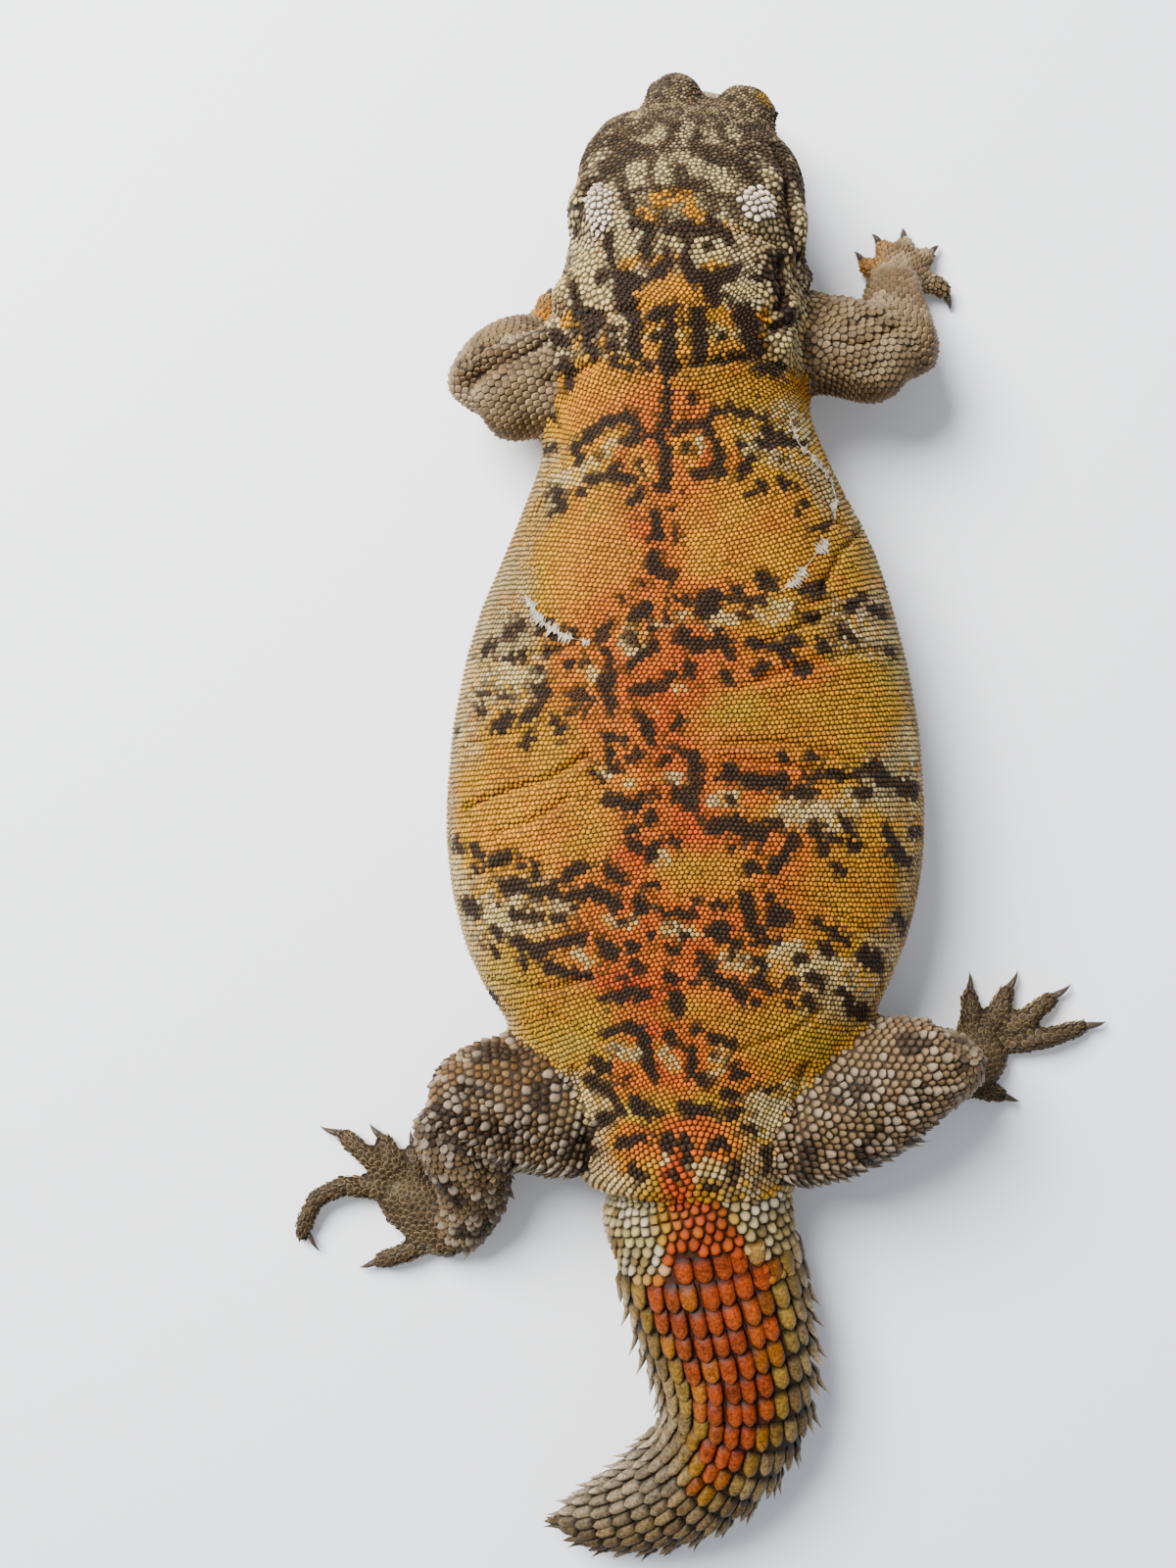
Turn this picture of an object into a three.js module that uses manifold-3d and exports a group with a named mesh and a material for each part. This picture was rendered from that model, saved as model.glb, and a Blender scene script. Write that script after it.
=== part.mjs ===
// A uromastyx, a stout spiny-tailed desert lizard, as a still life-size model.
// It lies belly down on the floor with its head bowed, its tail curled to its left and its feet spread.
// Millimetres, +Z up. The head points to -Y and the animal's left is +X.
// The origin is on the floor under the middle of the trunk, in the flat of the belly.
import * as THREE from "three";
import { mergeVertices } from "three/addons/utils/BufferGeometryUtils.js";
import Module from "manifold-3d";

const wasm = await Module();
wasm.setup();

const CUT = 0.3; // the gap left between two pieces that meet
const NAPE_CUT = { behind: 4, lean: 0.45 }; // behind the ears, and leaning back by that many radians
const SHOULDER_CUT = -47; // where the neck meets the trunk
const VENT_CUT = 52.6; // where the trunk meets the tail
const TAIL_CUTS = [0.44, 0.72]; // shares of the tail's length
const UP = new THREE.Vector3(0, 0, 1);

// Neck and trunk: [x, y, height of the widest line, half width, height above that line, depth below it].
// A depth a little over the line's height leaves the flat on which the belly lies.
const TORSO = [
  [0.5, -75, 18, 8, 7.4, 6],
  [0.6, -70, 17.2, 12.8, 12, 8],
  [0.8, -65, 15.8, 15, 14.2, 9.4],
  [0.9, -60, 14.2, 16.1, 15.2, 9.6],
  [0.9, -55, 12.8, 15.7, 15.4, 9.8],
  [0.7, -50, 11.8, 16.5, 15.4, 10.8],
  [0.5, -45, 11.2, 17.6, 15.6, 11.4],
  [0.2, -40, 10.9, 19.6, 15.8, 11.4],
  [0, -35, 10.6, 22, 16.2, 11.2],
  [-0.4, -28, 10.3, 25.3, 16.7, 11],
  [-0.4, -20, 10.2, 28, 17, 11],
  [-0.3, -10, 10.2, 30.4, 17.3, 11],
  [-0.2, 0, 10.2, 31.4, 17.4, 11],
  [-0.2, 8, 10.2, 31.5, 17.2, 11],
  [-0.2, 16, 10.2, 30.4, 16.6, 11],
  [-0.3, 24, 10.2, 27.9, 15.6, 11],
  [-0.3, 31, 10.2, 23.8, 14.4, 11],
  [-0.2, 36, 10.2, 19.4, 13.2, 10.9],
  [-0.1, 41, 10, 15.9, 12.2, 10.6],
  [-0.3, 47, 9.8, 14.6, 11.2, 10.2],
  [-1, 52, 9.4, 13, 10, 9.6],
  [-1.8, 56, 9, 6, 6, 6],
];

// Tail, under its spines: the same six numbers. It lies on the floor and curls to the animal's left.
const TAIL = [
  [-0.4, 48, 9.2, 8, 7, 7],
  [-1.4, 53.5, 9, 12.6, 9.6, 9.3],
  [-2.6, 58.5, 8.8, 12.9, 9.4, 9.1],
  [-4, 64.5, 8.6, 12.8, 9.2, 9],
  [-5.5, 70.5, 8.4, 12.4, 8.9, 8.8],
  [-6.8, 76.5, 8.2, 11.6, 8.5, 8.6],
  [-6.9, 82.4, 8, 10.7, 8.1, 8.4],
  [-4.9, 87.6, 7.6, 9.7, 7.6, 8],
  [-0.9, 92, 7.2, 8.7, 7, 7.6],
  [4.1, 95.2, 6.6, 7.5, 6.1, 7],
  [9.4, 97.4, 5.8, 5.9, 5, 6.1],
  [14, 98.6, 4.8, 3.8, 3.5, 5],
  [17.4, 98.9, 3.9, 1, 1.1, 2],
];
const WHORLS = 18; // rings of spiny scales along the tail
const WHORL_SPINES = 11; // spines round each ring in the solid
const SPINE_REACH = 1.7; // how far a spine stands out of the tail

// Head, in its own frame: [forward of the ears, half width, height of the crown, depth of the jaw].
const HEAD_PLACE = { x: 0.3, y: -68.3, z: 20.8, bow: 35, turn: 11 }; // degrees
const HEAD = [
  [-9, 5, 2.4, 4],
  [-6, 11.2, 6.1, 7],
  [0, 13.9, 8.6, 8.9],
  [5, 14.2, 9.3, 9.3],
  [10, 13.7, 9.3, 9],
  [14, 12.4, 8.8, 8.5],
  [18, 10.4, 7.4, 7.9],
  [22, 9.4, 5, 7.4],
  [25.5, 8.6, 3.4, 6.7],
  [28.4, 7.1, 1.9, 5.8],
  [30.1, 5, 0.7, 4.5],
  [30.9, 0.8, -0.9, 2.2],
];
// Swellings and hollows of the head: [forward, sideways, up, reach, lift], made on both sides.
const HEAD_FORMS = [
  [3, 13.6, -4, 6, 1], // jaw muscle
  [11, 10.6, 5, 4.5, 0.8], // temple
  [23.8, 8.4, 1.5, 2.4, -0.5], // dip before the eye
  [27.6, 4.6, 1.8, 1.8, 0.4], // nostril's rim
];
const BROW = { forward: 19.2, side: 4.8, up: 4.9, radii: [5.2, 4, 3.9] }; // the lidded dome round an eye
const EYE = { forward: 19.3, side: 5.4, up: 4.4, radius: 3.1 };
const LIDS = { forward: 19.4, side: 8.9, up: 4, radii: [2.3, 2, 1.4] }; // the opening between the lids
const EAR = { forward: -0.6, side: 13.9, up: -0.6, radii: [1, 2.2, 3] };
const NOSTRIL = { forward: 27.7, side: 4.7, up: 2, radius: 0.7 };
const MOUTH = { front: -2.1, back: -3.6, corner: 9 }; // heights of the lip line, and where it ends

// Legs: two bones and a foot of five digits each. A bone is a list of [x, y, z, half width, half height].
// A digit is a list of [x, y, z] from its knuckle to its last joint, and the claw's tip.
const LEGS = {
  front_right: {
    upper: ["upper_arm", [
      [-10, -55.8, 12, 5, 5], [-16, -57, 12.4, 6.6, 6], [-21.6, -56.4, 12.8, 6.8, 6],
      [-26.4, -54.6, 12.2, 6.2, 5.7], [-29.6, -53.6, 11.2, 3, 3],
    ]],
    lower: ["forearm", [
      [-28.6, -52, 11, 3, 3], [-28.4, -55.2, 11.4, 5.3, 5.2], [-28, -59.8, 9.8, 5.1, 4.8],
      [-28, -64.2, 7, 4.4, 3.8], [-28.8, -67.8, 4.2, 3.6, 2.8], [-29.2, -69.4, 2.8, 1.6, 1.4],
    ]],
    foot: ["hand", [
      [-28.8, -65.8, 3.6, 1.6, 1.6], [-29.4, -67.6, 2.8, 3.6, 2.6], [-30.2, -69.8, 2.1, 4, 2.3],
      [-30.8, -71.2, 1.6, 2.2, 1.6],
    ]],
    thick: 1.4,
    digits: [
      [[-27.8, -69, 1.6], [-26.2, -69.6, 2.3], [-25, -70.8, 1.2], [-23.8, -72.8, 0.4]],
      [[-28.8, -70.4, 1.6], [-28, -71.9, 2.5], [-27.4, -73.2, 1.2], [-26.2, -75.2, 0.4]],
      [[-30.4, -70.6, 1.6], [-30.4, -72.3, 2.6], [-30.5, -73.7, 1.2], [-30.4, -76, 0.4]],
      [[-31.8, -69.8, 1.6], [-32.8, -71, 2.5], [-33.8, -72, 1.2], [-35.5, -73.6, 0.4]],
      [[-32.4, -68, 1.6], [-34.6, -67.8, 2.3], [-36.2, -66.8, 1.2], [-37, -64.6, 0.4]],
    ],
  },
  front_left: {
    upper: ["upper_arm", [
      [10, -54, 12, 5, 5], [15.4, -53.4, 12.4, 6.4, 6], [20, -51.6, 12.4, 6.8, 6],
      [24, -49.8, 11.8, 6.2, 5.6], [26.6, -49.4, 11, 3, 3],
    ]],
    lower: ["forearm", [
      [27.2, -48, 10.8, 3, 3], [26.2, -50.8, 11.4, 5.4, 5.2], [24.6, -55, 10, 5.2, 4.8],
      [22.2, -58.2, 7.2, 4.3, 3.8], [20, -60.2, 4.4, 3.4, 2.8], [18.8, -61, 3, 1.6, 1.4],
    ]],
    foot: ["hand", [
      [20.6, -60, 3.6, 1.6, 1.6], [19.2, -60.7, 2.8, 3.4, 2.5], [17, -61.4, 2.1, 3.7, 2.2],
      [15.6, -61.8, 1.6, 2.2, 1.6],
    ]],
    thick: 1.4,
    digits: [
      [[16.4, -59, 1.6], [14.6, -58.2, 2.1], [13, -57.6, 1.2], [11.4, -57, 0.4]],
      [[15.6, -60.4, 1.6], [13.4, -60.2, 2.3], [11.4, -60.2, 1.2], [9.6, -60.2, 0.4]],
      [[15.4, -61.8, 1.6], [13.2, -62.4, 2.4], [11.4, -63.2, 1.2], [9.8, -64, 0.4]],
      [[16.4, -62.8, 1.6], [15, -64.4, 2.3], [13.8, -65.8, 1.2], [12.8, -67.2, 0.4]],
      [[18.4, -62.6, 1.6], [18.4, -64.6, 2.2], [18, -66.2, 1.2], [17.4, -67.8, 0.4]],
    ],
  },
  back_right: {
    upper: ["thigh", [
      [-8, 44.6, 10.5, 6, 6], [-13.6, 43.8, 11.6, 9, 8], [-19.4, 41.8, 12.8, 9.4, 7.8],
      [-26, 38.4, 14, 8.6, 7.2], [-31.6, 35.4, 14.6, 6.6, 6], [-35.2, 33.8, 14.2, 3, 3],
    ]],
    lower: ["shank", [
      [-35, 32.2, 14.8, 3, 3], [-34.2, 34.6, 13.8, 5.4, 5.6], [-32.8, 38, 10.2, 5.4, 5.4],
      [-31.6, 41, 6.6, 4.4, 4.2], [-31.4, 42.8, 4, 3.4, 3], [-31.6, 43.6, 2.8, 1.6, 1.4],
    ]],
    foot: ["foot", [
      [-30.4, 43.6, 3, 1.8, 1.8], [-32.8, 42, 2.7, 3.6, 2.7], [-37, 39, 2.6, 4, 2.7],
      [-41, 36.2, 2.2, 4.4, 2.3], [-43.8, 34.4, 1.7, 2.4, 1.6],
    ]],
    thick: 1.5,
    digits: [
      [[-38.9, 34.6, 1.7], [-39.3, 31.4, 2.3], [-39.4, 28.4, 1.3], [-39.6, 25.6, 0.4]],
      [[-41.4, 33.6, 1.7], [-43, 30.6, 2.4], [-44.6, 28, 1.3], [-46.2, 25.4, 0.4]],
      [[-44, 33.4, 1.7], [-47.4, 31.2, 2.6], [-50.6, 29.1, 1.3], [-53.6, 27.2, 0.4]],
      [[-44.8, 35.2, 1.7], [-50, 34.2, 2.8], [-54.8, 33, 1.3], [-58.4, 32.4, 0.4]],
      [[-37.4, 40.4, 1.7], [-40.8, 41.4, 2.2], [-43.8, 42.3, 1.3], [-46.6, 43.4, 0.4]],
    ],
  },
  back_left: {
    upper: ["thigh", [
      [7.5, 44, 10.4, 6, 6], [13, 42.6, 11, 9.2, 8.2], [19, 41.2, 11.8, 9.4, 8.2],
      [25, 41, 12.2, 8.4, 7.6], [30, 42.2, 12, 6.4, 6.4], [33, 43.2, 11.6, 3, 3],
    ]],
    lower: ["shank", [
      [31.8, 39.8, 12, 3, 3], [30.4, 43.4, 12, 5.8, 6], [28.4, 48, 10.4, 6.2, 5.8],
      [27.6, 53.2, 7.8, 5.3, 4.8], [28.6, 58.2, 5.2, 4.1, 3.6], [29.8, 61.2, 3.4, 3, 2.6],
      [30.6, 62.6, 2.6, 1.4, 1.2],
    ]],
    foot: ["foot", [
      [28.6, 62, 3, 1.8, 1.8], [30.6, 61, 2.7, 3.6, 2.7], [34, 58.6, 2.6, 3.9, 2.7],
      [37.6, 55.8, 2.2, 4, 2.3], [39.6, 54, 1.7, 2.2, 1.6],
    ]],
    thick: 1.5,
    digits: [
      [[35.8, 54.6, 1.7], [35.9, 51.8, 2.2], [36.2, 49.4, 1.3], [36.8, 47.2, 0.4]],
      [[37.4, 53.6, 1.7], [39, 50.6, 2.4], [40.4, 48.2, 1.3], [42.4, 46.3, 0.4]],
      [[39, 53.4, 1.7], [42.6, 50.2, 2.6], [45.8, 47.7, 1.3], [49.2, 46.7, 0.4]],
      [[39.4, 55.4, 1.7], [44.8, 54.2, 2.6], [49.8, 56.6, 2.3], [51.3, 61.4, 1.3], [49, 64, 0.4]],
      [[33.6, 61.6, 1.7], [37.6, 63.7, 2.2], [41, 64.8, 1.3], [43.8, 66, 0.4]],
    ],
  },
};
const CLAW_THICK = 0.75; // radius of a claw at its root

const finish = (color, roughness) => new THREE.MeshStandardMaterial({ color, roughness, metalness: 0 });
const HIDE = {
  back: finish(0xc08a34, 0.75),
  head: finish(0x85785f, 0.75),
  limb: finish(0x8f8470, 0.75),
  tail: finish(0xb08a5a, 0.7),
  claw: finish(0x2b241d, 0.4),
  eye: finish(0x1d150e, 0.08),
};

// A geometry's solid, on which other solids can be cut and joined.
function solid(geometry) {
  const bare = geometry.clone();
  for (const name of ["normal", "uv"]) bare.deleteAttribute(name);
  const merged = mergeVertices(bare, 1e-4);
  const shell = { numProp: 3, vertProperties: merged.attributes.position.array };
  return new wasm.Manifold(new wasm.Mesh({ ...shell, triVerts: new Uint32Array(merged.index.array) }));
}

function mesh(name, body, material) {
  const { vertProperties, triVerts } = body.getMesh();
  const geometry = new THREE.BufferGeometry();
  geometry.setAttribute("position", new THREE.BufferAttribute(vertProperties, 3));
  geometry.setIndex(new THREE.BufferAttribute(triVerts, 1));
  geometry.computeVertexNormals();
  const made = new THREE.Mesh(geometry, material);
  made.name = name;
  return made;
}

const joined = (solids) => solids.reduce((whole, next) => whole.add(next));
const largest = (body) => body.decompose().reduce((most, next) => (next.volume() > most.volume() ? next : most));
const power = (value, exponent) => Math.sign(value) * Math.abs(value) ** exponent;

// A closed tube of flesh through stations of [x, y, z, half width, height, depth]. A sphere's rings are moved
// onto two smooth curves, one of the places and one of the sizes. top and base are a superellipse's powers,
// up is the way that a ring's height points, grow fattens the tube, and rim may change a ring's radius.
function tube(stations, { sides, rings, top = 2, base = 2, up = UP, grow = 0, rim = () => 0 }) {
  const curve = (pick) => new THREE.CatmullRomCurve3(stations.map(pick), false, "catmullrom");
  const line = curve(([x, y, z]) => new THREE.Vector3(x, y, z));
  const sizes = curve(([, , , wide, high, low = high]) => new THREE.Vector3(wide, high, low));
  const geometry = new THREE.SphereGeometry(1, sides, rings);
  const place = geometry.attributes.position;
  for (let i = 0; i < place.count; i++) {
    const ring = Math.round((Math.acos(THREE.MathUtils.clamp(place.getY(i), -1, 1)) / Math.PI) * rings);
    const t = ring / rings;
    const ends = ring === 0 || ring === rings;
    const turn = Math.atan2(place.getZ(i), place.getX(i));
    const [cos, sin] = ends ? [0, 0] : [Math.cos(turn), Math.sin(turn)];
    const forward = line.getTangent(t);
    const side = new THREE.Vector3().crossVectors(up, forward).normalize();
    const above = new THREE.Vector3().crossVectors(forward, side);
    const size = sizes.getPoint(t);
    const more = grow + (ends ? 0 : rim(ring, turn));
    const shape = 2 / (sin > 0 ? top : base);
    const point = line.getPoint(t);
    point.addScaledVector(side, power(cos, shape) * (size.x + more));
    point.addScaledVector(above, power(sin, shape) * ((sin > 0 ? size.y : size.z) + more));
    if (ends) point.addScaledVector(forward, (ring === 0 ? -1 : 1) * grow);
    place.setXYZ(i, point.x, point.y, point.z);
  }
  return geometry;
}

// The head's own frame: x is forward from the ears, y to the animal's left and z up through the crown.
const headFrame = new THREE.Matrix4()
  .makeTranslation(HEAD_PLACE.x, HEAD_PLACE.y, HEAD_PLACE.z)
  .multiply(new THREE.Matrix4().makeRotationZ(-Math.PI / 2 - THREE.MathUtils.degToRad(HEAD_PLACE.turn)))
  .multiply(new THREE.Matrix4().makeRotationY(THREE.MathUtils.degToRad(HEAD_PLACE.bow)));
const onHead = (geometry) => solid(geometry.applyMatrix4(headFrame));

function ball(radii, { forward, side, up }, hand, segments) {
  const shape = new THREE.SphereGeometry(1, segments, segments / 2);
  return shape.scale(...radii).translate(forward, side * hand, up);
}

// A thin slab that parts the solid at a point, square to a direction.
function slab(point, direction, width = 44, height = 100) {
  const turn = new THREE.Quaternion().setFromUnitVectors(new THREE.Vector3(1, 0, 0), direction);
  const shape = new THREE.BoxGeometry(CUT, width, height).applyQuaternion(turn);
  return solid(shape.translate(point.x, point.y, point.z));
}

const joinedPair = (make) => onHead(make(1)).add(onHead(make(-1)));
const even = (radius) => [radius, radius, radius];

// Moves each point of the head out from the head's axis by the swellings near it.
function swell(geometry) {
  const place = geometry.attributes.position;
  for (let i = 0; i < place.count; i++) {
    const point = new THREE.Vector3().fromBufferAttribute(place, i);
    for (const [forward, side, up, reach, lift] of HEAD_FORMS) {
      for (const hand of [1, -1]) {
        const away = point.distanceTo(new THREE.Vector3(forward, side * hand, up));
        const near = Math.exp(-((away / reach) ** 2));
        const out = new THREE.Vector3(0, point.y, point.z).normalize();
        point.addScaledVector(out, near * lift);
      }
    }
    place.setXYZ(i, point.x, point.y, point.z);
  }
  return geometry;
}

// Skull, jaw muscles, brows and snout as one form, with sockets for the eyes, ears and nostrils.
function headForm(grow = 0) {
  const rows = HEAD.map(([forward, wide, high, low]) => [forward, 0, 0, wide, high, low]);
  const shaped = onHead(swell(tube(rows, { sides: 20, rings: 20, top: 2.3, base: 2.4, grow })));
  if (grow) return shaped;
  const brows = joinedPair((hand) => ball(BROW.radii, BROW, hand, 12));
  const sockets = joinedPair((hand) => ball(even(EYE.radius + CUT), EYE, hand, 12));
  const openings = joinedPair((hand) => ball(LIDS.radii, LIDS, hand, 8));
  const ears = joinedPair((hand) => ball(EAR.radii, EAR, hand, 6));
  const nostrils = joinedPair((hand) => ball(even(NOSTRIL.radius), NOSTRIL, hand, 6));
  return shaped.add(brows).subtract(joined([sockets, openings, ears, nostrils]));
}

// The cut along the lips and down behind the chin, which frees the lower jaw.
function jawCut() {
  const reach = HEAD.at(-1)[0] + 2 - MOUTH.corner;
  const slope = Math.atan2(MOUTH.front - MOUTH.back, reach);
  const lips = new THREE.BoxGeometry(reach, 40, CUT).translate(reach / 2, 0, 0);
  lips.rotateY(-slope).translate(MOUTH.corner, 0, MOUTH.back);
  const hinge = new THREE.BoxGeometry(CUT, 40, 12).translate(MOUTH.corner, 0, MOUTH.back - 6 + CUT / 2);
  return onHead(lips).add(onHead(hinge));
}

// The tail's rings: each whorl rises from a narrow front to a star of spines at its rear.
function tailForm(grow = 0) {
  const rings = WHORLS * 2;
  const rim = (ring, turn) => {
    const along = ring / rings;
    const reach = SPINE_REACH * Math.min(1, along * 4, (1 - along) * 3);
    const flank = 0.55 + 0.45 * Math.cos(turn) ** 2; // the side spines are the longest
    return ring % 2 ? 0 : reach * flank * (0.5 + 0.5 * Math.cos(turn * WHORL_SPINES));
  };
  return solid(tube(TAIL, { sides: WHORL_SPINES * 2, rings, top: 2.1, base: 2.4, grow, rim }));
}

const torsoForm = (grow = 0) => solid(tube(TORSO, { sides: 18, rings: 26, top: 2.25, base: 2.9, grow }));

const aboveFloor = solid(new THREE.BoxGeometry(300, 400, 100).translate(0, 0, 50));

// Parts the whole body by thin cuts: behind the head, at the shoulders, at the vent and twice along the tail.
function bodyLengths() {
  const tailPlaces = TAIL.map(([x, y, z]) => new THREE.Vector3(x, y, z));
  const tailLine = new THREE.CatmullRomCurve3(tailPlaces, false, "catmullrom");
  const across = new THREE.Vector3(0, 1, 0);
  const headward = new THREE.Vector3(0, Math.cos(NAPE_CUT.lean), Math.sin(NAPE_CUT.lean));
  const nape = new THREE.Vector3(HEAD_PLACE.x, HEAD_PLACE.y, HEAD_PLACE.z);
  const cuts = [
    slab(nape.addScaledVector(headward, NAPE_CUT.behind), headward),
    slab(new THREE.Vector3(0, SHOULDER_CUT, 0), across),
    slab(new THREE.Vector3(0, VENT_CUT, 0), across, 44, 40),
    ...TAIL_CUTS.map((t) => slab(tailLine.getPoint(t), tailLine.getTangent(t), 36, 40)),
    jawCut(),
  ];
  const whole = joined([headForm(), torsoForm(), tailForm()]);
  return whole.subtract(joined(cuts)).intersect(aboveFloor).decompose();
}

// A digit without its claw, and the claw, which curves from inside the last joint down to the floor.
function digit(points, thick, grow = 0) {
  const joints = points.slice(0, -1);
  const radius = joints.map((_, i) => thick * (1.1 - (0.3 * i) / (joints.length - 1)));
  const rows = joints.map((place, i) => [...place, radius[i] * 1.05, radius[i]]);
  const beyond = (near, far) => near.map((value, i) => value + (value - far[i]) * 0.16);
  const cap = (near, far) => [...beyond(near, far), thick * 0.3, thick * 0.3];
  const stations = [cap(joints[0], joints[1]), ...rows, cap(joints.at(-1), joints.at(-2))];
  return solid(tube(stations, { sides: 5, rings: stations.length + 1, grow }));
}

function claw(points, thick) {
  const [tip, root] = [points.at(-1), points.at(-2)];
  const between = (share, lift) => root.map((value, i) => value + (tip[i] - value) * share + (i === 2 ? lift : 0));
  const rows = [
    [...between(0.1, 0), 0.2, 0.2],
    [...between(0.25, 0.2), CLAW_THICK, CLAW_THICK],
    [...between(0.6, 0.45), CLAW_THICK * 0.8, CLAW_THICK * 0.8],
    [...between(0.95, 0.2), CLAW_THICK * 0.4, CLAW_THICK * 0.4],
    [...between(1.08, -0.1), 0.1, 0.1],
  ];
  return solid(tube(rows, { sides: 4, rings: 4 })).subtract(digit(points, thick, CUT));
}

const bone = (rows, grow = 0, up = UP) => solid(tube(rows, { sides: 8, rings: rows.length + 2, grow, up }));
// A bone with the gap round it. Its facets cross where it bends, so the bone itself is added back.
const roomFor = (rows, up = UP) => bone(rows, CUT, up).add(bone(rows, CUT / 2, up)).add(bone(rows, 0, up));
const STANDING = new THREE.Vector3(0, -1, 0.3); // the height direction of a bone that stands upright

function footForm(foot, digits, thick, grow = 0) {
  return joined([bone(foot, grow), ...digits.map((points) => digit(points, thick, grow))]);
}

// One leg as three pieces and five claws, each cut clear of the piece that it grows from.
function leg(name, { upper, lower, foot, digits, thick }, body) {
  const standing = name === "back_right" ? STANDING : UP;
  const thigh = bone(upper[1]).subtract(body);
  const shank = bone(lower[1], 0, standing).subtract(roomFor(upper[1])).subtract(body);
  const sole = footForm(foot[1], digits, thick).subtract(roomFor(lower[1], standing)).subtract(body);
  const pieces = [[upper[0], thigh], [lower[0], shank], [foot[0], sole]];
  const whole = (shape) => largest(shape.intersect(aboveFloor));
  const made = pieces.map(([part, shape]) => mesh(`${part}_${name}`, whole(shape), HIDE.limb));
  digits.forEach((points, i) => {
    const shape = claw(points, thick).subtract(roomFor(foot[1]));
    made.push(mesh(`claw_${name}_${i + 1}`, whole(shape), HIDE.claw));
  });
  return made;
}

const uromastyx = new THREE.Group();
const LENGTHS = [
  ["head", HIDE.head],
  ["jaw", HIDE.head],
  ["neck", HIDE.back],
  ["trunk", HIDE.back],
  ["tail_base", HIDE.tail],
  ["tail_middle", HIDE.tail],
  ["tail_tip", HIDE.tail],
];
const front = (body) => body.boundingBox().min[1];
const lengths = bodyLengths().sort((one, other) => front(one) - front(other));
LENGTHS.forEach(([name, hide], i) => uromastyx.add(mesh(name, lengths[i], hide)));

const bodyAndGap = joined([headForm(CUT), torsoForm(CUT), tailForm(CUT)]);
for (const [name, plan] of Object.entries(LEGS)) uromastyx.add(...leg(name, plan, bodyAndGap));

for (const [name, hand] of [["eye_left", 1], ["eye_right", -1]]) {
  const eye = onHead(ball(even(EYE.radius), EYE, hand, 12));
  uromastyx.add(mesh(name, eye, HIDE.eye));
}

export default uromastyx;
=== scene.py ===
import math
import bpy
import numpy as np
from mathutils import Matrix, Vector
from mathutils.bvhtree import BVHTree
from mathutils.kdtree import KDTree


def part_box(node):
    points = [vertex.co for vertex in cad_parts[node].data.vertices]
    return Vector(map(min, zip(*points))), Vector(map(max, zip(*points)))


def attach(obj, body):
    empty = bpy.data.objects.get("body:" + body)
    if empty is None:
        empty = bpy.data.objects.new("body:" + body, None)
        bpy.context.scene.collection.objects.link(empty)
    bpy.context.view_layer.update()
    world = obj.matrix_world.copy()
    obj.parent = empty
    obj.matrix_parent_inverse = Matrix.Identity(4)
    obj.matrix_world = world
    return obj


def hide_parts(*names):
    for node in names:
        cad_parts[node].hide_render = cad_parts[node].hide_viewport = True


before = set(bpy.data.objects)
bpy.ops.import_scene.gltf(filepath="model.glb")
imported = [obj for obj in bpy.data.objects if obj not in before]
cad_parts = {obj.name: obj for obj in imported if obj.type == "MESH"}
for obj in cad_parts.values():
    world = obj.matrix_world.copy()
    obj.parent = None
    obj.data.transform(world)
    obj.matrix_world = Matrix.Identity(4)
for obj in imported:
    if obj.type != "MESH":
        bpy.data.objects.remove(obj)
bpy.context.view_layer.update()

# The hide: one unbroken skin over the whole animal, from the snout to the tail's tip.
# It starts from the solids of flesh, grown until they merge, and is smoothed and drawn in
# by the depth of the scales that stand on it. Lengths are in millimetres.
MM = 0.001
VOXEL = 0.45
HIDE_TRIANGLES = 190000
MERGE_GROWTH = 0.25
DRAWN_BACK = 0.6  # the share of that growth that the smoothing leaves, and that is taken off
SCALE_DEPTH = 0.3
FOOT_SCALE_DEPTH = 0.1
TAIL_SCALE_DEPTH = 0.65
SHIELDS_SET_IN = (55, 62)  # from where to where down the tail its shields reach their depth
CORE_RINGS, CORE_SIDES = 90, 40
TAIL = [  # middle, half width, height above and depth below, from the hips to the tip
    (-0.4, 48, 9.2, 8, 7, 7), (-1.4, 53.5, 9, 12.6, 9.6, 9.3), (-2.6, 58.5, 8.8, 12.9, 9.4, 9.1),
    (-4, 64.5, 8.6, 12.8, 9.2, 9), (-5.5, 70.5, 8.4, 12.4, 8.9, 8.8), (-6.8, 76.5, 8.2, 11.6, 8.5, 8.6),
    (-6.9, 82.4, 8, 10.7, 8.1, 8.4), (-4.9, 87.6, 7.6, 9.7, 7.6, 8), (-0.9, 92, 7.2, 8.7, 7, 7.6),
    (4.1, 95.2, 6.6, 7.5, 6.1, 7), (9.4, 97.4, 5.8, 5.9, 5, 6.1), (14, 98.6, 4.8, 3.8, 3.5, 5),
    (17.4, 98.9, 3.9, 1, 1.1, 2),
]
# How often the points of each part are moved towards their neighbours.
SMOOTHING = {"trunk": 70, "neck": 70, "tail": 30, "thigh": 30, "shank": 24, "upper": 30,
             "forearm": 24, "head": 9, "jaw": 9, "hand": 4, "foot": 4}
flesh = sorted(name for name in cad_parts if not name.startswith(("claw_", "eye_")))


def unit(vectors):
    lengths = np.linalg.norm(vectors, axis=-1, keepdims=True)
    return vectors / np.maximum(lengths, 1e-9)


def mesh_arrays(mesh):
    """The corners and triangles of a mesh."""
    mesh.calc_loop_triangles()
    points = np.empty(len(mesh.vertices) * 3)
    mesh.vertices.foreach_get("co", points)
    faces = np.empty(len(mesh.loop_triangles) * 3, dtype=np.int32)
    mesh.loop_triangles.foreach_get("vertices", faces)
    return points.reshape(-1, 3), faces.reshape(-1, 3)


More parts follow.
